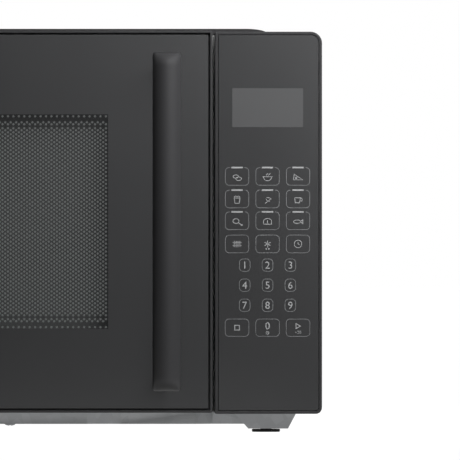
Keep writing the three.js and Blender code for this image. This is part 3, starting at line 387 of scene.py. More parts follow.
def makeMaterial(name, look):
    # a base colour that wear and dust change, gloss that varies a little, and fine bumps
    look = {**plainLook, **look}
    material = bpy.data.materials.new(name)
    material.use_nodes = True
    tree = material.node_tree
    shader = tree.nodes["Principled BSDF"]
    for socket, key in uniformSockets.items():
        shader.inputs[socket].default_value = look[key]
    colour = look["colour"]
    # emission in the base colour, as bright as the look's glow; the clear sheet's glow is painted light, as
    # if from a lit cavity
    shader.inputs["Emission Color"].default_value = (*colour, 1)
    if look["spangle"]:
        tone = useGroup(tree, "spangle", Scale=look["spangle"])
        colour = tones(tree, tone, colour, *look["spangleTones"])
    elif look["mottle"]:
        patches = noiseField(tree, look["mottleScale"], 4.0)
        colour = tones(tree, patches, colour, 1 - look["mottle"], 1 + look["mottle"])
    if look["wear"]:
        mask = useGroup(tree, "edgeWear", Width=look["wearWidth"], Amount=look["wear"])
        colour = blendColour(tree, mask, colour, look["wearColour"])
    if look["dust"]:
        mask = useGroup(tree, "dust", Amount=look["dust"])
        colour = blendColour(tree, mask, colour, look["dustColour"])
    if isinstance(colour, list):
        shader.inputs["Base Color"].default_value = (*colour, 1)
    else:
        tree.links.new(colour, shader.inputs["Base Color"])
    change = useGroup(tree, "smudge", Scale=look["smudgeScale"], Amount=look["smudge"])
    tree.links.new(numbers(tree, "ADD", change, look["rough"], True), shader.inputs["Roughness"])
    if look["grain"]:
        bump = addNode(tree, "ShaderNodeBump")
        bump.inputs["Strength"].default_value = look["grain"]
        bump.inputs["Distance"].default_value = look["grainDepth"]
        if look["lines"]:
            height = noiseField(tree, look["grainScale"], 3.0, look["lines"])
        else:
            height = useGroup(tree, "surfaceGrain", Scale=look["grainScale"])
        tree.links.new(height, bump.inputs["Height"])
        tree.links.new(bump.outputs["Normal"], shader.inputs["Normal"])
    return material


looks = {
    "black_paint": {"colour": [0.011, 0.011, 0.012], "rough": 0.42, "specular": 0.35, "grain": 0.5,
                    "grainScale": 1800, "wear": 0.5, "wearColour": [0.07, 0.07, 0.072], "dust": 0.05},
    "black_plastic": {"colour": [0.0175, 0.0175, 0.0183], "rough": 0.36, "grain": 0.28, "grainScale": 3200,
                      "wear": 0.35, "wearColour": [0.06, 0.06, 0.062], "smudge": 0.12},
    "black_glass": {"colour": [0.0192, 0.0194, 0.02], "rough": 0.3, "smudge": 0.05, "mottle": 0.04},
    # the clear inner sheet glows in its own colour: painted light, standing in for the lit cavity seen
    # through the screen's holes
    "clear_sheet": {"colour": [0.30, 0.316, 0.312], "rough": 0.35, "clear": 0.8, "mottle": 0.04,
                    "glow": 0.53},
    "galvanised": {"colour": [0.46, 0.47, 0.48], "metal": 1.0, "rough": 0.42, "spangle": 150.0,
                   "grain": 0.2, "wear": 0.4, "wearColour": [0.62, 0.62, 0.63], "dust": 0.06},
    "steel": {"colour": [0.36, 0.37, 0.38], "metal": 1.0, "rough": 0.36, "grain": 0.35, "mottle": 0.12,
              "grainScale": 700, "lines": (1.0, 1.0, 14.0), "wear": 0.4, "wearColour": [0.6, 0.6, 0.61]},
    "grey_enamel": {"colour": [0.34, 0.345, 0.34], "rough": 0.34, "grain": 0.35, "grainScale": 900,
                    "mottle": 0.05, "wear": 0.2, "wearColour": [0.34, 0.33, 0.32], "dust": 0.12},
    "perforated_steel": {"colour": [0.115, 0.122, 0.12], "rough": 0.5, "mottle": 0.1},
    "copper": {"colour": [0.5, 0.2, 0.09], "metal": 0.9, "rough": 0.34, "grain": 0.9, "grainScale": 260,
               "grainDepth": 0.0003, "lines": (0.2, 0.2, 6.0), "mottle": 0.18},
    "rubber": {"colour": [0.014, 0.014, 0.014], "rough": 0.72, "grain": 0.6, "grainScale": 1400,
               "grainDepth": 0.0001, "dust": 0.18, "mottle": 0.15},
    "clear_glass": {"colour": [0.86, 0.93, 0.91], "rough": 0.04, "clear": 0.92, "smudge": 0.04},
    "white_plastic": {"colour": [0.70, 0.69, 0.65], "rough": 0.38, "grain": 0.25, "grainScale": 2600,
                      "mottle": 0.04, "dust": 0.2},
    "red_plastic": {"colour": [0.36, 0.035, 0.025], "rough": 0.34, "grain": 0.2, "mottle": 0.08},
    "board": {"colour": [0.03, 0.13, 0.055], "rough": 0.32, "mottle": 0.22, "mottleScale": 160.0,
              "grain": 0.4, "grainScale": 500},
    "mica": {"colour": [0.36, 0.3, 0.21], "rough": 0.5, "mottle": 0.28, "mottleScale": 220.0, "grain": 0.4},
    "aluminium": {"colour": [0.58, 0.59, 0.6], "metal": 1.0, "rough": 0.33, "grain": 0.3, "mottle": 0.08,
                  "grainScale": 600, "lines": (14.0, 1.0, 1.0), "dust": 0.1},
    "ceramic": {"colour": [0.72, 0.7, 0.65], "rough": 0.24, "grain": 0.2, "mottle": 0.06, "coat": 0.3},
    "black_parts": {"colour": [0.028, 0.028, 0.03], "rough": 0.44, "grain": 0.3, "dust": 0.15},
}
materials = {name: makeMaterial(name, look) for name, look in looks.items()}


def doorGlassMaterial(windowX, windowZ):
    # black print all over except inside the window, where the smoked glass lets the screen through:
    # the opening is the product, for X and Z, of how far a point lies inside the window's edge
    look = {"seeThrough": 0.42, "edge": 0.25 * mm, "margin": (4.4, 5.4)}
    material = makeMaterial("door_glass_print", looks["black_glass"])
    tree = material.node_tree
    parts = addNode(tree, "ShaderNodeSeparateXYZ")
    tree.links.new(addNode(tree, "ShaderNodeTexCoord").outputs["Object"], parts.inputs[0])
    inside = []
    for axis, (low, high), margin in zip("XZ", (windowX, windowZ), look["margin"]):
        middle, half = (low + high) / 2 * mm, ((high - low) / 2 - margin) * mm
        off = numbers(tree, "ABSOLUTE", numbers(tree, "SUBTRACT", parts.outputs[axis], middle))
        inside.append(numbers(tree, "DIVIDE", numbers(tree, "SUBTRACT", half, off), look["edge"], True))
    window = numbers(tree, "MULTIPLY", *inside)
    alpha = numbers(tree, "SUBTRACT", 1.0, numbers(tree, "MULTIPLY", window, 1 - look["seeThrough"]))
    tree.links.new(alpha, tree.nodes["Principled BSDF"].inputs["Alpha"])
    return material


print("materials:", len(materials))

# Fascia: the door and the control panel share one front and one set of outer corners.
fascia = {"upperCorner": 7.3, "lowerCorner": 4.0, "innerCorner": 1.0, "rimRound": 0.45, "innerRound": 0.6,
          "wall": 2.2, "ledgeThick": 2.0, "chamfer": 0.4, "soften": 0.12, "fillet": 0.3, "screenRim": 5.0,
          "doorPane": [1.5, 0.6, 0.6, 4.6], "controlPane": [0.6, 1.8, 5.1, 0.6], "printHalf": 0.05}

doorLow, doorHigh = span("door_frame")
doorX, doorZ = (doorLow[0], doorHigh[0]), (doorLow[2], doorHigh[2])
doorFront, doorBack = doorLow[1], doorHigh[1]
glassLow, glassHigh = span("door_glass")
panelLow, panelHigh = span("control_frame")
panelX, panelZ = (panelLow[0], panelHigh[0]), (panelLow[2], panelHigh[2])
panelMiddle = (panelX[0] + panelX[1]) / 2
keyGlassLow, keyGlassHigh = span("control_glass")
doorCorners = [fascia["lowerCorner"], fascia["innerCorner"], fascia["innerCorner"], fascia["upperCorner"]]
panelCorners = [fascia["innerCorner"], fascia["lowerCorner"], fascia["upperCorner"], fascia["innerCorner"]]


def frameProfile(rim, seat, ledge, front, back):
    # inset and depth of a moulded frame's section: rounded rim, glass seat, ledge, pocket and outer wall
    wall, cut, fillet, scale = (fascia[key] for key in ("wall", "chamfer", "fillet", "innerRound"))
    soft = quarter(fascia["rimRound"])
    outer = [(inset, front + down) for inset, down in soft]
    inner = [(rim - inset * scale, front + down * scale) for inset, down in soft[::-1]]
    seatDepth, ledgeBack = front + seat, front + seat + fascia["ledgeThick"]
    rest = [(0.0, back - cut), (fascia["soften"], back - fascia["soften"]), (cut, back), (wall - cut, back),
            (wall, back - cut), (wall, ledgeBack + fillet), (wall + fillet, ledgeBack),
            (ledge - cut, ledgeBack), (ledge, ledgeBack - cut), (ledge, seatDepth + cut),
            (ledge - cut, seatDepth), (rim, seatDepth)]
    return outer + rest + inner


def doorFrame():
    # the section is carried round the door's outline; near the hinge its back edge is rounded in plan
    look = {"backRound": 6.0, "backSteps": 8, "backClear": 0.45, "rim": 1.5, "seat": 3.3, "ledge": 12.0,
            "earFront": -137.5, "earReach": 13.8, "earThick": 2.0, "earGap": 0.8, "earRound": 0.05,
            "overcut": 1.0}
    plain = frameProfile(look["rim"], look["seat"], look["ledge"], doorFront, doorBack)
    extra = doorBack - look["backRound"] * (1 - np.sin(np.linspace(0, pi / 2, look["backSteps"] + 1)))
    extra = extra[extra < doorBack - look["backClear"]]
    # the rounding's depths are added to both sides of the wall, before and after its five back points
    start = len(quarter(1))
    end = start + 5
    outside, inside = [(0.0, y) for y in extra], [(fascia["wall"], y) for y in extra[::-1]]
    profile = plain[:start] + outside + plain[start:end] + inside + plain[end:]
    rings = np.array([standing(roundedRectangle(doorX, doorZ, doorCorners, inset), y)
                      for inset, y in profile])
    depth = np.clip(rings[..., 1] - (doorBack - look["backRound"]), 0, look["backRound"])
    edge = doorX[0] + look["backRound"] - np.sqrt(look["backRound"] ** 2 - depth ** 2)
    insets = np.array([min(inset, fascia["wall"]) for inset, y in profile])[:, None]
    rings[..., 0] = np.maximum(rings[..., 0], np.where(depth > 0, edge + insets, doorX[0]))
    mesh = finishMesh("door_frame", *stack(rings, closed=True))
    # a notch in the frame for each hinge ear
    gap, over, thick = look["earGap"], look["overcut"], look["earThick"]
    x, y = (doorX[0] - over, doorX[0] + look["earReach"]), (look["earFront"], doorBack + over)
    lower, upper = span("hinge_lower")[0][2], span("hinge_upper")[1][2]
    notches = [block(x, y, (low - gap, low + thick + gap), look["earRound"])
               for low in (lower, upper - thick)]
    return place("door_surround", carve(mesh, finishMesh("ears", *merged(notches))), "door", "black_plastic",
                 ["door_frame"])


def controlFrame():
    # the panel's frame has the same rounded rim as the door's, a little wider
    look = {"rim": 1.9, "seat": 2.5, "ledge": 5.0}
    profile = frameProfile(look["rim"], look["seat"], look["ledge"], panelLow[1], panelHigh[1])
    rings = [standing(roundedRectangle(panelX, panelZ, panelCorners, inset), y) for inset, y in profile]
    mesh = finishMesh("control_surround", *stack(rings, closed=True))
    return place("control_surround", mesh, "cabinet", "black_plastic", ["control_frame"])


def glassPlate(name, low, high, corners, body, node, finish):
    # a flat pane with polished edges
    look = {"edge": 0.35}
    x, z = (low[0], high[0]), (low[2], high[2])
    points, faces = slab(lambda inset: roundedRectangle(x, z, corners, inset), (low[1], high[1]),
                         look["edge"])
    return place(name, finishMesh(name, points, faces), body, "black_glass", [node], finish)


screenLow, screenHigh = span("mesh_screen")
windowX = (screenLow[0] + fascia["screenRim"], screenHigh[0] - fascia["screenRim"])
windowZ = (screenLow[2] + fascia["screenRim"], screenHigh[2] - fascia["screenRim"])
doorFrame()
controlFrame()
glassPlate("door_pane", glassLow, glassHigh, fascia["doorPane"], "door", "door_glass",
           doorGlassMaterial(windowX, windowZ))
glassPlate("control_pane", keyGlassLow, keyGlassHigh, fascia["controlPane"], "cabinet", "control_glass", None)
print("fascia made")


def doorHandle():
    # the grip's side outline is carried across its width: its edges are drawn in and its front is bowed
    look = {"bar": 10.0, "leg": 20.0, "endRound": 9.0, "innerRound": 6.0, "bow": 5.0, "soft": 2.2,
            "stations": 22, "arcSteps": 10, "sharp": 50}
    low, high = span("handle")
    y, z = (low[1], high[1]), (low[2], high[2])
    arc = np.linspace(0, pi / 2, look["arcSteps"] + 1)

    def corner(cy, cz, radius, start, turn=1):
        # a quarter circle in Y and Z, from the start angle in the turn's sense
        angle = start + turn * arc
        return np.column_stack([cy + radius * np.cos(angle), cz + radius * np.sin(angle)])

    r, q, inside = look["endRound"], look["innerRound"], y[0] + look["bar"]
    foot, head = z[0] + look["leg"], z[1] - look["leg"]
    outline = np.vstack([
        corner(y[0] + r, z[1] - r, r, pi / 2), corner(y[0] + r, z[0] + r, r, pi),
        [[y[1], z[0]], [y[1], foot]], corner(inside + q, foot + q, q, 3 * pi / 2, -1),
        corner(inside + q, head - q, q, pi, -1), [[y[1], head], [y[1], z[1]]]])
    # stations across the width, close together where the edges are rounded
    middle, half = (low[0] + high[0]) / 2, (high[0] - low[0]) / 2
    across = half * np.sin(np.linspace(-pi / 2, pi / 2, look["stations"]))
    toEdge = np.clip(look["soft"] - (half - np.abs(across)), 0, look["soft"])
    drawnIn = look["soft"] - np.sqrt(look["soft"] ** 2 - toEdge ** 2)
    rings = []
    for x, inward in zip(across, drawnIn):
        loop = insetLoop(outline, inward)
        near = np.clip((inside - loop[:, 0]) / look["bar"], 0, 1)
        back = look["bow"] * (x / half) ** 2 * near
        rings.append(np.column_stack([np.full(len(loop), middle + x), loop[:, 0] + back, loop[:, 1]]))
    mesh = finishMesh("handle", *stack(rings), sharp=look["sharp"])
    return place("door_handle", mesh, "door", "black_plastic", ["handle"])


doorHandle()
print("handle made")


def flatGrid(xs, zs, y):
    # a flat sheet at one depth, divided at every x and every z
    x, z = np.meshgrid(xs, zs)
    return standing(np.column_stack([x.ravel(), z.ravel()]), y), gridFaces(len(zs), len(xs))


def perforatedScreen():
    # rectangular tiles with a six-sided hole each; neighbouring columns stand half a tile apart, and a few
    # rows near the top and bottom stay bare, so that the field fades out in lines of dots
    look = {"columnPitch": 1.7375, "rowPitch": 1.27, "hole": 0.8, "columns": 153, "rows": 107,
            "bareRows": (1, 2, 5), "thickness": 0.6}
    y = screenLow[1]
    middleX, middleZ = (windowX[0] + windowX[1]) / 2, (windowZ[0] + windowZ[1]) / 2
    halfTile = np.array([look["columnPitch"] / 2, look["rowPitch"]])
    rim = np.array([[-1, -1], [1, -1], [1, 0], [1, 1], [-1, 1], [-1, 0]]) * halfTile
    angle = np.radians([240, 300, 0, 60, 120, 180])
    hole = look["hole"] * np.column_stack([np.cos(angle), np.sin(angle)])
    sides, lastRow = len(hole), look["rows"] - 1
    bare = [row for step in look["bareRows"] for row in (step, lastRow - step)]

    def half(name, columns, outerX):
        # the tiles of some columns, and plain sheet from them out to the screen's edge at outerX
        column, row = np.meshgrid(columns, np.arange(look["rows"]), indexing="ij")
        used = (column + row) % 2 == 0
        column, row = column[used], row[used]
        centre = np.column_stack([middleX + (column - look["columns"] // 2) * look["columnPitch"],
                                  middleZ + (row - lastRow / 2) * look["rowPitch"]])
        pierced = ~np.isin(row, bare)
        rims, holes = centre[:, None] + rim, centre[pierced][:, None] + hole
        ring = np.concatenate([rims[pierced], holes], axis=1).reshape(-1, 2)
        first = np.arange(pierced.sum())[:, None] * 2 * sides
        i = np.arange(sides)
        j = (i + 1) % sides
        faces = np.stack([first + i, first + j, first + j + sides, first + i + sides], axis=-1)
        parts = [(standing(ring, y), faces.reshape(-1, 4).tolist())]
        plain = rims[~pierced].reshape(-1, 2)
        parts.append((standing(plain, y), np.arange(len(plain)).reshape(-1, sides).tolist()))
        # bare half tiles that square off the odd columns, then the border out to the sheet's edge
        edges = np.append(columns, columns[-1] + 1) - 0.5
        xs = middleX + (edges - look["columns"] // 2) * look["columnPitch"]
        bottom = middleZ - (lastRow / 2 + 1) * look["rowPitch"]
        top = 2 * middleZ - bottom
        odd = columns[columns % 2 == 1] - columns[0]
        for z0, z1 in ((bottom, bottom + look["rowPitch"]), (top - look["rowPitch"], top)):
            quad = np.stack([np.column_stack([xs[odd + right], np.full(len(odd), z)])
                             for right, z in ((0, z0), (1, z0), (1, z1), (0, z1))], axis=1).reshape(-1, 2)
            parts.append((standing(quad, y), np.arange(len(quad)).reshape(-1, 4).tolist()))
        across = np.sort(np.append(xs, outerX))
        parts += [flatGrid(across, (screenLow[2], bottom), y), flatGrid(across, (top, screenHigh[2]), y)]
        zs = bottom + np.arange(look["rows"] + 2) * look["rowPitch"]
        parts.append(flatGrid((outerX, xs[0]) if outerX < xs[0] else (xs[-1], outerX), zs, y))
        mesh = finishMesh(name, *merged(parts), closed=False)
        work = bmesh.new()
        work.from_mesh(mesh)
        turned = [face for face in work.faces if face.normal.y > 0]
        bmesh.ops.reverse_faces(work, faces=turned)
        work.to_mesh(mesh)
        work.free()
        piece = place(name, mesh, "door", "perforated_steel", ["mesh_screen"])
        wall = piece.modifiers.new("thickness", "SOLIDIFY")
        wall.thickness, wall.offset = look["thickness"] * mm, -1.0
        return piece

    middle = look["columns"] // 2 + 1
    half("screen_left", np.arange(0, middle), screenLow[0])
    half("screen_right", np.arange(middle, look["columns"]), screenHigh[0])


perforatedScreen()
print("screen made")


def outerCover():
    # one bent sheet: a cross-section with round shoulders, carried from front to back; the top swells into
    # a low crown whose height is a quarter ellipse in from each side and each end
    look = {"corner": 7.0, "sheet": 1.0, "rise": 3.1, "crownFoot": 185.3, "ease": 13.8, "easePower": 1.6,
            "endInset": 14.0, "footFillet": 0.12, "cornerSteps": 9, "sideSteps": 14, "easeSteps": 15,
            "endEaseSteps": 13, "flatSteps": 10, "lengthSteps": 16, "slot": (3.0, 22.0), "slotPitch": 8.0,
            "slotCount": 7, "slotSteps": 5, "slotReach": 3.0, "slotTrim": 0.02,
            "endRows": (0, 4, 9), "frontVent": (34.0, 62.0), "rearVent": (108.0, 78.0)}
    low, high = span("outer_cover")
    top = high[2] - look["rise"]
    r = look["corner"]
    turn = np.linspace(pi, pi / 2, look["cornerSteps"])
    sideZ = np.linspace(low[2], top - r, look["sideSteps"])
    side = np.column_stack([np.full(len(sideZ), low[0]), sideZ])
    shoulder = np.column_stack([low[0] + r + r * np.cos(turn), top - r + r * np.sin(turn)])

    def easing(steps):
        # distances in from the crown's foot, close together where it rises steeply
        return look["ease"] * np.linspace(0, 1, steps) ** look["easePower"]

    crownX = easing(look["easeSteps"]) - look["crownFoot"]
    topX = np.append(crownX, np.linspace(crownX[-1], 0, look["flatSteps"])[1:])
    left = np.vstack([side, shoulder[1:], np.column_stack([topX, np.full(len(topX), top)])])
    section = np.vstack([left, (left * [-1, 1])[-2::-1]])
    ends = np.concatenate([look["endRows"], look["endInset"] + easing(look["endEaseSteps"])])
    between = np.linspace(low[1] + ends[-1], high[1] - ends[-1], look["lengthSteps"])[1:-1]
    y = np.concatenate([low[1] + ends, between, high[1] - ends[::-1]])

    def swell(distance):
        # a quarter ellipse of the distance in from the crown's foot, filleted at the foot
        t = np.clip(distance / look["ease"], 0, 1)
        return np.sqrt(1 - (1 - t) ** 2) * np.clip(t / look["footFillet"], 0, 1) ** 0.5

    crown = look["rise"] * swell(look["crownFoot"] - np.abs(section[:, 0]))[None, :] * \
        swell(np.minimum(y - low[1], high[1] - y) - look["endInset"])[:, None]
    crown *= section[:, 1][None, :] >= top - 1e-6
    points = np.stack([np.broadcast_to(section[:, 0], crown.shape), np.broadcast_to(y[:, None], crown.shape),
                       section[:, 1][None, :] + crown], axis=-1)
    mesh = finishMesh("cover_sheet", points.reshape(-1, 3), gridFaces(len(y), len(section)), closed=False)
    if mesh.polygons[0].normal.x > 0:
        mesh.flip_normals()
    base = linked("cover_sheet", mesh)
    wall = base.modifiers.new("sheet", "SOLIDIFY")
    wall.thickness, wall.offset = look["sheet"] * mm, -1.0
    solid = asMesh(base)
    # one field of vent slots low at the front of the right side, one high at the back of each side
    width, length = look["slot"]
    front, rear, reach = look["frontVent"], look["rearVent"], look["slotReach"]
    fields = [(high[0], low[1] + front[0], front[1]), (high[0], high[1] - rear[0], high[2] - rear[1]),
              (low[0], high[1] - rear[0], high[2] - rear[1])]
    cutters = []
    for x, firstY, z in fields:
        for i in range(look["slotCount"]):
            middleY = firstY + i * look["slotPitch"]
            loop = roundedRectangle((middleY - width / 2, middleY + width / 2),
                                    (z - length / 2, z + length / 2), [width / 2 - look["slotTrim"]] * 4, 0,
                                    look["slotSteps"])
            cutters.append(stack([np.column_stack([np.full(len(loop), cutX), loop])
                                  for cutX in (x - reach, x + reach)]))
    carved = carve(solid, finishMesh("slots", *merged(cutters)))
    return place("cover", carved, "cabinet", "black_paint", ["outer_cover"])


outerCover()
print("cover made")


def feet():
    # a turned rubber pad with a soft lip, a hollow underneath and a stem up into its pod
    look = {"radius": 9.0, "lip": 0.7, "pad": 1.9, "hollow": 0.9, "hollowRadius": 4.6, "ringRadius": 5.2,
            "stem": 3.5, "neck": 1.6, "barb": 1.2, "barbStep": 0.4, "point": 1.0, "edge": 0.3, "sides": 40}
    for node in ("foot_front_left", "foot_front_right", "foot_rear_left", "foot_rear_right"):
        low, high = span(node)
        centre = ((low[0] + high[0]) / 2, (low[1] + high[1]) / 2, 0)
        r, pad, lip, stem, edge = (look[key] for key in ("radius", "pad", "lip", "stem", "edge"))
        barbFoot = pad + look["neck"]
        profile = [(0, look["hollow"]), (look["hollowRadius"], look["hollow"]), (look["ringRadius"], 0.0)]
        profile += [(r - lip + lip * np.sin(a), lip - lip * np.cos(a)) for a in np.linspace(0, pi / 2, 5)]
        profile += [(r, pad - edge), (r - edge, pad), (stem, pad), (stem, barbFoot),
                    (stem + look["barb"], barbFoot + look["barbStep"]),
                    (stem - look["barb"] / 2, high[2] - edge), (stem - look["point"], high[2]), (0, high[2])]
        mesh = finishMesh(node + "_pad", *lathe(profile, centre, steps=look["sides"]))
        place(node + "_pad", mesh, "cabinet", "rubber", [node])


feet()


def glassTray():
    # a pressed dish: flat floor with a ring step, a flared wall and a rolled rim, and lugs underneath
    look = {"rimWidth": 17.5, "thickness": 5.0, "rise": 7.0, "rimRadius": 2.0, "rimTurn": (-0.4, 0.75 * pi),
            "rimSteps": 9, "sides": 96, "grooves": ((22, 0.0), (23, 0.5), (25, 0.5), (26, 0.0)),
            "dish": ((40, 0.0), (39, 0.4), (0, 0.4)), "lug": (13.0, 20.0, 8.0), "lugDrop": (6.0, 0.02),
            "lugRound": 0.8, "lugs": 3}
    low, high = span("glass_tray")
    r, rimRound = (high[0] - low[0]) / 2, look["rimRadius"]
    centre = np.array([(low[0] + high[0]) / 2, (low[1] + high[1]) / 2, 0])
    under = high[2] - 2 * rimRound - look["rise"]
    brim, top, flat = under + look["rise"] + rimRound, under + look["thickness"], r - look["rimWidth"]
    profile = [(0, under), (flat - 3, under), (flat, under + 0.15), (flat + 5, under + 1.4),
               (r - 5, under + look["rise"] * 0.6)]
    profile += [(r - rimRound + rimRound * np.cos(a), brim + rimRound * np.sin(a))
                for a in np.linspace(*look["rimTurn"], look["rimSteps"])]
    profile += [(r - 6, brim), (flat + 1.5, top + 0.6), (flat - 2, top)]
    profile += [(flat - inward, top - down) for inward, down in look["grooves"]]
    profile += [(radius, top - down) for radius, down in look["dish"]]
    mesh = finishMesh("tray_dish", *lathe(profile, centre, steps=look["sides"]))
    place("tray_dish", mesh, "tray", "clear_glass", ["glass_tray"])
    inner, outer, width = look["lug"]
    deep, gap = look["lugDrop"]
    lugs = []
    for i in range(look["lugs"]):
        points, faces = block((inner, outer), (-width / 2, width / 2), (under - deep, under - gap),
                              look["lugRound"])
        angle = (i + 0.5) / look["lugs"] * 2 * pi
        c, s = np.cos(angle), np.sin(angle)
        lugs.append((points @ np.array([[c, s, 0], [-s, c, 0], [0, 0, 1]]) + centre, faces))
    place("tray_lugs", finishMesh("tray_lugs", *merged(lugs)), "tray", "clear_glass")


glassTray()


def tube(path, radius, sides=10):
    # a round section carried along a path of points, with rings square to the path
    path = np.asarray(path, float)
    along = np.gradient(path, axis=0)
    along /= np.linalg.norm(along, axis=1)[:, None]
    guide = np.array([0.31, 0.17, 0.93])  # any direction the path never takes
    first = np.cross(along, guide)
    first /= np.linalg.norm(first, axis=1)[:, None]
    second = np.cross(along, first)
    angle = np.linspace(0, 2 * pi, sides, endpoint=False)[None, :, None]
    rings = path[:, None] + radius * (first[:, None] * np.cos(angle) + second[:, None] * np.sin(angle))
    return stack(rings)


def latchSpring():
    # a wire helix with closed ends, of the frame spring's outer size
    look = {"wire": 0.45, "turns": 7.5, "steps": 24, "sides": 8, "sharp": 80, "closedEnd": 0.08,
            "closedRise": 0.04}
    low, high = span("latch_spring")
    radius = (high[0] - low[0]) / 2 - look["wire"]
    t = np.linspace(0, 1, int(look["turns"] * look["steps"]))
    ease = np.clip((t - look["closedEnd"]) / (1 - 2 * look["closedEnd"]), 0, 1)
    rise = look["closedRise"] * t + (1 - look["closedRise"]) * ease
    z = low[2] + look["wire"] + (high[2] - low[2] - 2 * look["wire"]) * rise
    angle = 2 * pi * look["turns"] * t
    path = np.column_stack([(low[0] + high[0]) / 2 + radius * np.cos(angle),
                            (low[1] + high[1]) / 2 + radius * np.sin(angle), z])
    mesh = finishMesh("latch_coil", *tube(path, look["wire"], look["sides"]), sharp=look["sharp"])
    return place("latch_coil", mesh, "door", "steel", ["latch_spring"])


latchSpring()


def crossHead(centre, axis, radius, height, out=1):
    # a pan head: a dome on a short wall, pressed in along a cross at its middle
    look = {"rings": 10, "sides": 48, "domeReach": 0.94, "armHalf": 0.13, "armReach": 0.6, "crossDepth": 0.6}
    ring = np.linspace(0, 1, look["rings"])[:, None]
    angle = np.linspace(0, 2 * pi, look["sides"], endpoint=False)
    u, v = ring * np.cos(angle), ring * np.sin(angle)
    dome = height * np.sqrt(np.clip(1 - (ring * look["domeReach"]) ** 2, 0, 1)) + 0 * angle
    cross = (np.minimum(np.abs(u), np.abs(v)) < look["armHalf"]) & (ring < look["armReach"])
    dome = dome - np.where(cross, height * look["crossDepth"], 0)
    foot = np.stack([u[-1] * radius, v[-1] * radius, 0 * angle], axis=-1)
    skin = np.stack([u * radius, v * radius, dome], axis=-1)
    points, faces = stack(np.concatenate([skin, foot[None]]))
    across, up, height = points.T
    order = {"y": (across, out * height, up), "z": (across, up, out * height)}[axis]
    return np.stack(order, axis=-1) + np.asarray(centre, float), faces


def screws():
    # the screws that hold the cover to the back panel, the gland plate, and the base
    look = {"head": 3.6, "height": 1.7, "gap": 0.02, "side": 8.0, "lowest": 18.0, "highest": 40.0,
            "top": 7.0, "topInsets": (60.0, 120.0), "lowX": -50.0, "baseX": (-120.0, 20.0),
            "baseY": (-60.0, 130.0), "basePlate": 3.0}
    low, high = span("back_panel")
    left, right = low[0] + look["side"], high[0] - look["side"]
    lower, upper, top = low[2] + look["lowest"], high[2] - look["highest"], high[2] - look["top"]
    spots = [(left, lower), (right, lower), (left, upper), (right, upper),
             (low[0] + look["topInsets"][0], top), (high[0] - look["topInsets"][1], top),
             (look["lowX"], low[2] + look["side"])]
    heads = [crossHead((x, high[1] + look["gap"], z), "y", look["head"], look["height"]) for x, z in spots]
    place("back_screws", finishMesh("back_screws", *merged(heads)), "cabinet", "steel")
    under = span("base_plate")[0][2] + look["basePlate"] - look["gap"]
    heads = [crossHead((x, y, under), "z", look["head"], look["height"], -1)
             for x in look["baseX"] for y in look["baseY"]]
    place("base_screws", finishMesh("base_screws", *merged(heads)), "cabinet", "steel")


screws()
print("turned pieces made")

polished = {  # rounding of each piece that keeps the frame's own shape
    "base_plate": 0.7, "motor_access_cover": 0.35, "front_plate": 0.35, "cavity_liner": 0.6,
    "waveguide_cover": 0.15, "back_panel": 0.25, "cord_gland": 0.4, "rear_spacer": 0.8,
    "hinge_upper": 0.35, "hinge_lower": 0.35, "door_panel": 0.3, "inner_window": 0.15,
    "choke_cover": 0.5, "handle_screw_lower": 0.2, "handle_screw_upper": 0.2, "latch_hooks": 0.4,
    "latch_bracket": 0.3, "primary_switch": 0.4, "secondary_switch": 0.4, "monitor_switch": 0.4,
    "primary_plunger": 0.3, "secondary_plunger": 0.3, "monitor_plunger": 0.3, "display_module": 0.5,
    "control_board": 0.15, "waveguide": 0.4, "magnetron": 0.4, "magnetron_antenna": 0.8,
    "thermal_cutout": 0.4, "transformer_core": 0.5, "transformer_winding": 1.5, "hv_capacitor": 1.2,
    "hv_diode": 0.4, "filter_board": 0.3, "line_fuse": 0.3, "fan_shroud": 0.4, "fan_motor": 0.8,
    "fan_blade": 0.3, "lamp_socket": 0.6, "cavity_lamp": 0.6, "turntable_motor": 0.6,
    "drive_coupler": 0.5, "roller_ring": 0.5, "roller_1": 0.6, "roller_2": 0.6, "roller_3": 0.6,
}
for node, edge in polished.items():
    polish(node, edge)
print("polished pieces:", len(polished))


def stroke(path, width, closed=False):
    # a line of the print: a thin flat ribbon along a path in X and Z, mitred at its corners
    sharpest = 0.35  # keeps the mitre of a very sharp corner short
    path = np.asarray(path, float)
    following = np.roll(path, -1, axis=0) if closed else np.vstack([path[1:], 2 * path[-1] - path[-2]])
    ahead = following - path
    ahead /= np.linalg.norm(ahead, axis=1)[:, None]
    behind = np.roll(ahead, 1, axis=0)
    if not closed:
        behind[0] = ahead[0]
    normal = np.column_stack([-ahead[:, 1], ahead[:, 0]])
    previous = np.column_stack([-behind[:, 1], behind[:, 0]])
    mitre = (normal + previous) / np.maximum(1 + (normal * previous).sum(axis=1), sharpest)[:, None]
    left, right = path + mitre * width / 2, path - mitre * width / 2
    front, back = doorFront - fascia["printHalf"], doorFront + fascia["printHalf"]
    rings = np.stack([standing(left, front), standing(right, front), standing(right, back),
                      standing(left, back)], axis=1)
    return stack(rings, closed)


def arcPath(centre, radius, start, end, steps=14, squash=1.0):
    # part of a circle or ellipse, angles in degrees anticlockwise from the right
    angle = np.radians(np.linspace(start, end, steps))
    return np.column_stack([centre[0] + radius * np.cos(angle), centre[1] + radius * squash * np.sin(angle)])


def ringPath(centre, radius, steps=20, squash=1.0):
    # a whole circle or ellipse; its last point stops one step short of the first
    return arcPath(centre, radius, 0, 360, steps + 1, squash)[:-1]


def directions(degrees):
    # a unit vector in X and Z for each angle
    return np.column_stack([np.cos(np.radians(degrees)), np.sin(np.radians(degrees))])


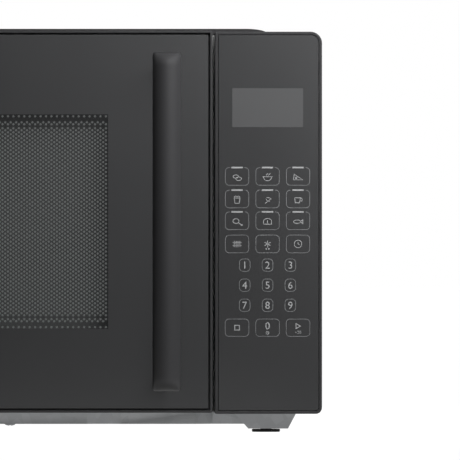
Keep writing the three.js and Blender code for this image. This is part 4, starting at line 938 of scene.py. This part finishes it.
def icon(kind, cx, cz, pen):
    # small line drawings for the food and mode keys, each a few strokes about the key's middle
    def line(*points):
        # straight strokes from point to point
        return stroke(np.array(points) + [cx, cz], pen)

    def ring(x, z, radius, squash=1.0):
        # a closed circle or ellipse
        return stroke(ringPath((cx + x, cz + z), radius, 20, squash), pen, True)

    def arc(x, z, radius, start, end, squash=1.0):
        # part of a circle or ellipse, angles in degrees
        return stroke(arcPath((cx + x, cz + z), radius, start, end, 14, squash), pen)

    drawings = {
        "oval": lambda: [ring(-0.8, 0.5, 1.7, 0.62), ring(1.0, -0.9, 1.8, 0.62)],
        "bowl": lambda: [arc(0, 0.4, 2.6, 180, 360), line((-3.2, 0.4), (3.2, 0.4)),
                         line((-1.0, 1.2), (0.2, 2.6)), line((0.6, 1.2), (1.8, 2.6))],
        "slice": lambda: [line((-3, -1.6), (3, -1.6), (-2.4, 2.0), (-3, -1.6)), ring(-1.2, -0.4, 0.5)],
        "bucket": lambda: [line((-1.9, 1.2), (-1.3, -2.2), (1.3, -2.2), (1.9, 1.2), (-1.9, 1.2)),
                           arc(-0.9, 1.5, 0.9, 20, 180), arc(0.9, 1.5, 0.9, 0, 160)],
        "leaf": lambda: [arc(-0.2, -1.9, 3.4, 40, 100), arc(1.9, 2.3, 3.4, 205, 262),
                         line((-1.6, -2.3), (1.9, 0.6))],
        "cup": lambda: [line((-2.2, 1.4), (-1.7, -1.8), (1.0, -1.8), (1.5, 1.4), (-2.2, 1.4)),
                        arc(1.6, 0.2, 1.1, -80, 80)],
        "joint": lambda: [ring(-0.7, 0.4, 1.9, 0.8), line((0.9, -0.6), (2.6, -1.9)), ring(2.9, -2.1, 0.4)],
        "loaf": lambda: [line((-2.6, -1.6), (2.6, -1.6), (2.6, 0.2)), arc(0, 0.2, 2.6, 0, 180, 0.7),
                         line((-2.6, 0.2), (-2.6, -1.6)), line((0, -1.2), (0, 0.9))],
        "fish": lambda: [ring(-0.6, 0, 2.2, 0.5), line((1.5, 0), (3.0, 1.2), (3.0, -1.2), (1.5, 0))],
        "grid": lambda: [line((x, -2.0), (x, 2.0)) for x in (-1.8, -0.6, 0.6, 1.8)]
        + [line((-2.8, z), (2.8, z)) for z in (-1.0, 1.0)],
        "frost": lambda: [line((x, z), (-x, -z)) for x, z in 2.2 * directions([90, 30, 150])]
        + [ring(-0.8, -3.2, 0.35), ring(0.8, -3.2, 0.35)],
        "clock": lambda: [ring(0, 0, 2.4), line((0, 1.4), (0, 0), (1.1, -0.6))],
    }
    return drawings[kind]()


def digit(text, cx, cz, height):
    # a numeral from the built-in font, turned to face the front and scaled to a height
    curve = bpy.data.curves.new("digit", "FONT")
    curve.body, curve.extrude, curve.resolution_u = text, 0.01, 3
    mesh = asMesh(linked("digit", curve))
    points = np.zeros(len(mesh.vertices) * 3)
    mesh.vertices.foreach_get("co", points)
    points = points.reshape(-1, 3)
    flat = (points - (points.min(0) + points.max(0)) / 2) * height / np.ptp(points[:, 1])
    y = doorFront + np.where(flat[:, 2] > 0, -fascia["printHalf"], fascia["printHalf"])
    faces = [list(face.vertices) for face in mesh.polygons]
    return np.column_stack([cx + flat[:, 0], y, cz + flat[:, 1]]), faces


def spread(middle, length):
    # the two ends of a length about its middle
    return middle - length / 2, middle + length / 2


def keyPanel():
    # the touch keys' outlines and signs, printed on the glass
    look = {"shift": -0.6, "pen": 0.3, "signPen": 0.4, "boldPen": 0.5, "finePen": 0.25, "round": 2.4,
            "roundSteps": 6, "iconKey": (14.9, 11.3), "iconPitch": 19.45,
            "iconRows": (163.4, 149.0, 135.1, 120.3), "iconDrop": 0.6, "digitKey": (6.8, 7.9),
            "digitPitch": 14.55, "digitRows": (106.8, 94.0, 81.2), "digitHeight": 4.6, "lowKey": (15.1, 11.0),
            "lowRow": 66.9, "labelGap": 9.4, "label": (1.0, 7.2), "square": 3.0, "dial": (3.3, 0.9),
            "smallHeight": 1.9, "addDrop": 3.0, "line": [0.096, 0.0975, 0.1], "sign": [0.158, 0.16, 0.162]}
    signs = (("oval", "bowl", "slice"), ("bucket", "leaf", "cup"), ("joint", "loaf", "fish"),
             ("grid", "frost", "clock"))
    middle = panelMiddle + look["shift"]
    lines, glyphs = [], []

    def outline(cx, cz, size, gap=0.0):
        # a rounded key outline; a gap in its top edge leaves room for the label
        x, z = spread(cx, size[0]), spread(cz, size[1])
        steps = look["roundSteps"]
        loop = roundedRectangle(x, z, [look["round"]] * 4, 0, steps)
        if not gap:
            lines.append(stroke(loop, look["pen"], True))
            return
        left, right = spread(cx, gap)
        fromUpperLeft = np.roll(loop, -3 * (steps + 1), axis=0)
        lines.append(stroke(np.vstack([[[left, z[1]]], fromUpperLeft, [[right, z[1]]]]), look["pen"]))

    for row, (z, kinds) in enumerate(zip(look["iconRows"], signs)):
        labelled = row < len(signs) - 1
        for column, kind in enumerate(kinds):
            x = middle + (column - 1) * look["iconPitch"]
            outline(x, z, look["iconKey"], look["labelGap"] if labelled else 0.0)
            glyphs.extend(icon(kind, x, z - (look["iconDrop"] if labelled else 0.0), look["signPen"]))
            if labelled:
                thick, length = look["label"]
                left, right = spread(x, length)
                top = z + look["iconKey"][1] / 2
                glyphs.append(stroke([[left, top], [right, top]], thick))
    for row, z in enumerate(look["digitRows"]):
        for column in range(3):
            x = middle + (column - 1) * look["digitPitch"]
            outline(x, z, look["digitKey"])
            glyphs.append(digit(str(3 * row + column + 1), x, z, look["digitHeight"]))
    # the lowest row: a stop square, the nought over a small clock, and a start triangle over the added time
    z = look["lowRow"]
    for column in range(3):
        outline(middle + (column - 1) * look["iconPitch"], z, look["lowKey"])
    left, right = middle - look["iconPitch"], middle + look["iconPitch"]
    half = look["square"] / 2
    square = np.array([[-half, -half], [half, -half], [half, half], [-half, half]]) + [left, z]
    glyphs.append(stroke(square, look["boldPen"], True))
    glyphs.append(digit("0", middle, z + 1.2, look["digitHeight"]))
    drop, radius = look["dial"]
    glyphs.append(stroke(ringPath((middle, z - drop), radius, 16), look["pen"], True))
    hands = np.array([[0, 0.5], [0, 0], [0.5, 0]]) + [middle, z - drop]
    glyphs.append(stroke(hands, look["finePen"]))
    triangle = np.array([[-1.3, -0.6], [1.5, 1.0], [-1.3, 2.6]]) + [right, z]
    glyphs.append(stroke(triangle, look["boldPen"], True))
    glyphs.append(digit("+30", right, z - look["addDrop"], look["smallHeight"]))
    place("key_outlines", finishMesh("key_outlines", *merged(lines)), "cabinet", "white_plastic",
          finish=inkMaterial("line_ink", look["line"]))
    place("key_signs", finishMesh("key_signs", *merged(glyphs)), "cabinet", "white_plastic",
          finish=inkMaterial("sign_ink", look["sign"]))


def inkMaterial(name, colour):
    # dull ink of one colour, a little uneven
    look = {"colour": colour, "rough": 0.45, "mottle": 0.08, "mottleScale": 900.0, "smudge": 0.05}
    return makeMaterial(name, look)


def displayWindow():
    # the display's smoked window, a shade lighter than the glass round it
    look = {"size": (45.2, 24.8), "shift": -0.5, "middleZ": 207.2, "proud": 0.06, "round": 0.4}
    smoke = {"colour": [0.038, 0.0384, 0.0392], "rough": 0.3, "mottle": 0.03}
    x, z = spread(panelMiddle + look["shift"], look["size"][0]), spread(look["middleZ"], look["size"][1])
    rings = [standing(roundedRectangle(x, z, [look["round"]] * 4), y)
             for y in (doorFront - look["proud"], doorFront + look["proud"])]
    finish = makeMaterial("display_smoke", smoke)
    mesh = finishMesh("display_window", *stack(rings))
    return place("display_window", mesh, "cabinet", "black_glass", finish=finish)


keyPanel()
displayWindow()
print("panel print made")


def plainBackground(tree, strength):
    # a white background of one strength, which is a number or a socket
    shader = addNode(tree, "ShaderNodeBackground")
    shader.inputs["Color"].default_value = (1, 1, 1, 1)
    if isinstance(strength, float):
        shader.inputs["Strength"].default_value = strength
    else:
        tree.links.new(strength, shader.inputs["Strength"])
    return shader.outputs[0]


def surroundWorld(look):
    # white to the camera; to everything else a dim room that is lighter above and to the right
    world = bpy.data.worlds.new("studio")
    world.use_nodes = True
    bpy.context.scene.world = world
    tree = world.node_tree
    tree.nodes.clear()
    parts = addNode(tree, "ShaderNodeSeparateXYZ")
    tree.links.new(addNode(tree, "ShaderNodeTexCoord").outputs["Generated"], parts.inputs[0])
    sideways = numbers(tree, "MULTIPLY", parts.outputs["X"], look["slope"])
    upward = numbers(tree, "MULTIPLY", parts.outputs["Z"], look["slope"])
    level = numbers(tree, "ADD", numbers(tree, "ADD", sideways, upward), 0.5, True)
    pick = addNode(tree, "ShaderNodeMixShader")
    tree.links.new(addNode(tree, "ShaderNodeLightPath").outputs["Is Camera Ray"], pick.inputs[0])
    dim = plainBackground(tree, numbers(tree, "MULTIPLY", level, look["surround"]))
    tree.links.new(dim, pick.inputs[1])
    tree.links.new(plainBackground(tree, 1.0), pick.inputs[2])
    tree.links.new(pick.outputs[0], addNode(tree, "ShaderNodeOutputWorld").inputs["Surface"])


def whiteTable(look):
    # white to the camera, and open from below; reflections see it glow near the oven: the glow is the
    # shine times how far inside the reach a point lies, and it fades out over a short distance
    half, level = look["floor"] / 2, -look["tableGap"]
    corners = [(-half, -half, level), (half, -half, level), (half, half, level), (-half, half, level)]
    mesh = bpy.data.meshes.new("table")
    mesh.from_pydata(corners, [], [(0, 1, 2, 3)])
    table = linked("table", mesh)
    material = bpy.data.materials.new("table_white")
    material.use_nodes = True
    tree = material.node_tree
    shader = tree.nodes["Principled BSDF"]
    shader.inputs["Base Color"].default_value = (look["tableTone"],) * 3 + (1,)
    shader.inputs["Roughness"].default_value = look["tableRough"]
    shader.inputs["Emission Color"].default_value = (1, 1, 1, 1)
    ray = addNode(tree, "ShaderNodeLightPath").outputs
    reach = addNode(tree, "ShaderNodeVectorMath", operation="LENGTH")
    tree.links.new(addNode(tree, "ShaderNodeTexCoord").outputs["Object"], reach.inputs[0])
    near = numbers(tree, "SUBTRACT", look["shineReach"], reach.outputs["Value"])
    near = numbers(tree, "MULTIPLY", near, 1 / look["shineFade"], True)
    reflected = numbers(tree, "MULTIPLY", ray["Is Glossy Ray"], near)
    shine = numbers(tree, "MULTIPLY", reflected, look["tableShine"])
    glow = numbers(tree, "ADD", ray["Is Camera Ray"], shine, True)
    tree.links.new(glow, shader.inputs["Emission Strength"])
    behind = addNode(tree, "ShaderNodeNewGeometry").outputs["Backfacing"]
    tree.links.new(numbers(tree, "SUBTRACT", 1.0, behind), shader.inputs["Alpha"])
    mesh.materials.append(material)


def softLight(name, look):
    # an area light at a place, aimed at a point; a disk, or a rectangle when it has a height
    data = bpy.data.lights.new(name, "AREA")
    data.shape = "RECTANGLE" if "height" in look else "DISK"
    data.size, data.size_y, data.energy = look["size"], look.get("height", look["size"]), look["power"]
    light = linked(name, data)
    light.location = look["at"]
    toward = Vector(look["aim"]) - Vector(look["at"])
    light.rotation_euler = toward.to_track_quat("-Z", "Y").to_euler()
    light.visible_camera = False
    light.visible_glossy = look["inReflections"]
    return light


def squareCamera(look):
    # a far camera, square to the front, whose lens fits the frame's height at the front's distance
    camera = linked("camera", bpy.data.cameras.new("camera"))
    camera.location = (look["centre"][0], doorFront * mm - look["distance"], look["centre"][1])
    camera.rotation_euler = (pi / 2, 0, 0)
    camera.data.sensor_width = look["sensor"]
    camera.data.lens = look["sensor"] * look["distance"] / look["frameHeight"]
    camera.data.clip_start, camera.data.clip_end = look["clip"]
    bpy.context.scene.camera = camera


def studio():
    # a white table in a dim surround, a near key light, an overhead light, a side light and a back light
    look = {"floor": 60.0, "tableGap": 0.0002, "tableTone": 0.06, "tableRough": 0.9, "tableShine": 0.45,
            "shineReach": 0.42, "shineFade": 0.1, "surround": 0.06, "slope": 0.3,
            "distance": 12.0, "frameHeight": 0.2934, "centre": (0.1613, 0.1292), "sensor": 36.0,
            "clip": (0.1, 100.0)}
    lights = {
        "key_light": {"at": (0.4, -0.48, 0.5), "aim": (0.1, -0.14, 0.14), "size": 0.6, "power": 14.5,
                      "inReflections": False},
        "overhead_light": {"at": (0.1, 0.7, 2.4), "aim": (0, 0, 0.2), "size": 2.0, "power": 0.8,
                           "inReflections": True},
        "side_light": {"at": (-1.9, 0.75, 0.9), "aim": (-0.22, 0.1, 0.13), "size": 1.2, "power": 14.0,
                       "inReflections": False},
        "back_light": {"at": (-0.2, 1.6, 0.14), "aim": (0, 0.1, 0.13), "size": 2.0, "height": 0.26,
                       "power": 2.4, "inReflections": True},
    }
    bpy.context.scene.view_settings.view_transform = "Standard"
    surroundWorld(look)
    whiteTable(look)
    made = {name: softLight(name, values) for name, values in lights.items()}
    # the handle throws no shadow of the key light on the glass behind it
    shadowless = bpy.data.collections.new("shadowless")
    shadowless.objects.link(bpy.data.objects["door_handle"])
    shadowless.collection_objects[0].light_linking.link_state = "EXCLUDE"
    made["key_light"].light_linking.blocker_collection = shadowless
    squareCamera(look)


studio()
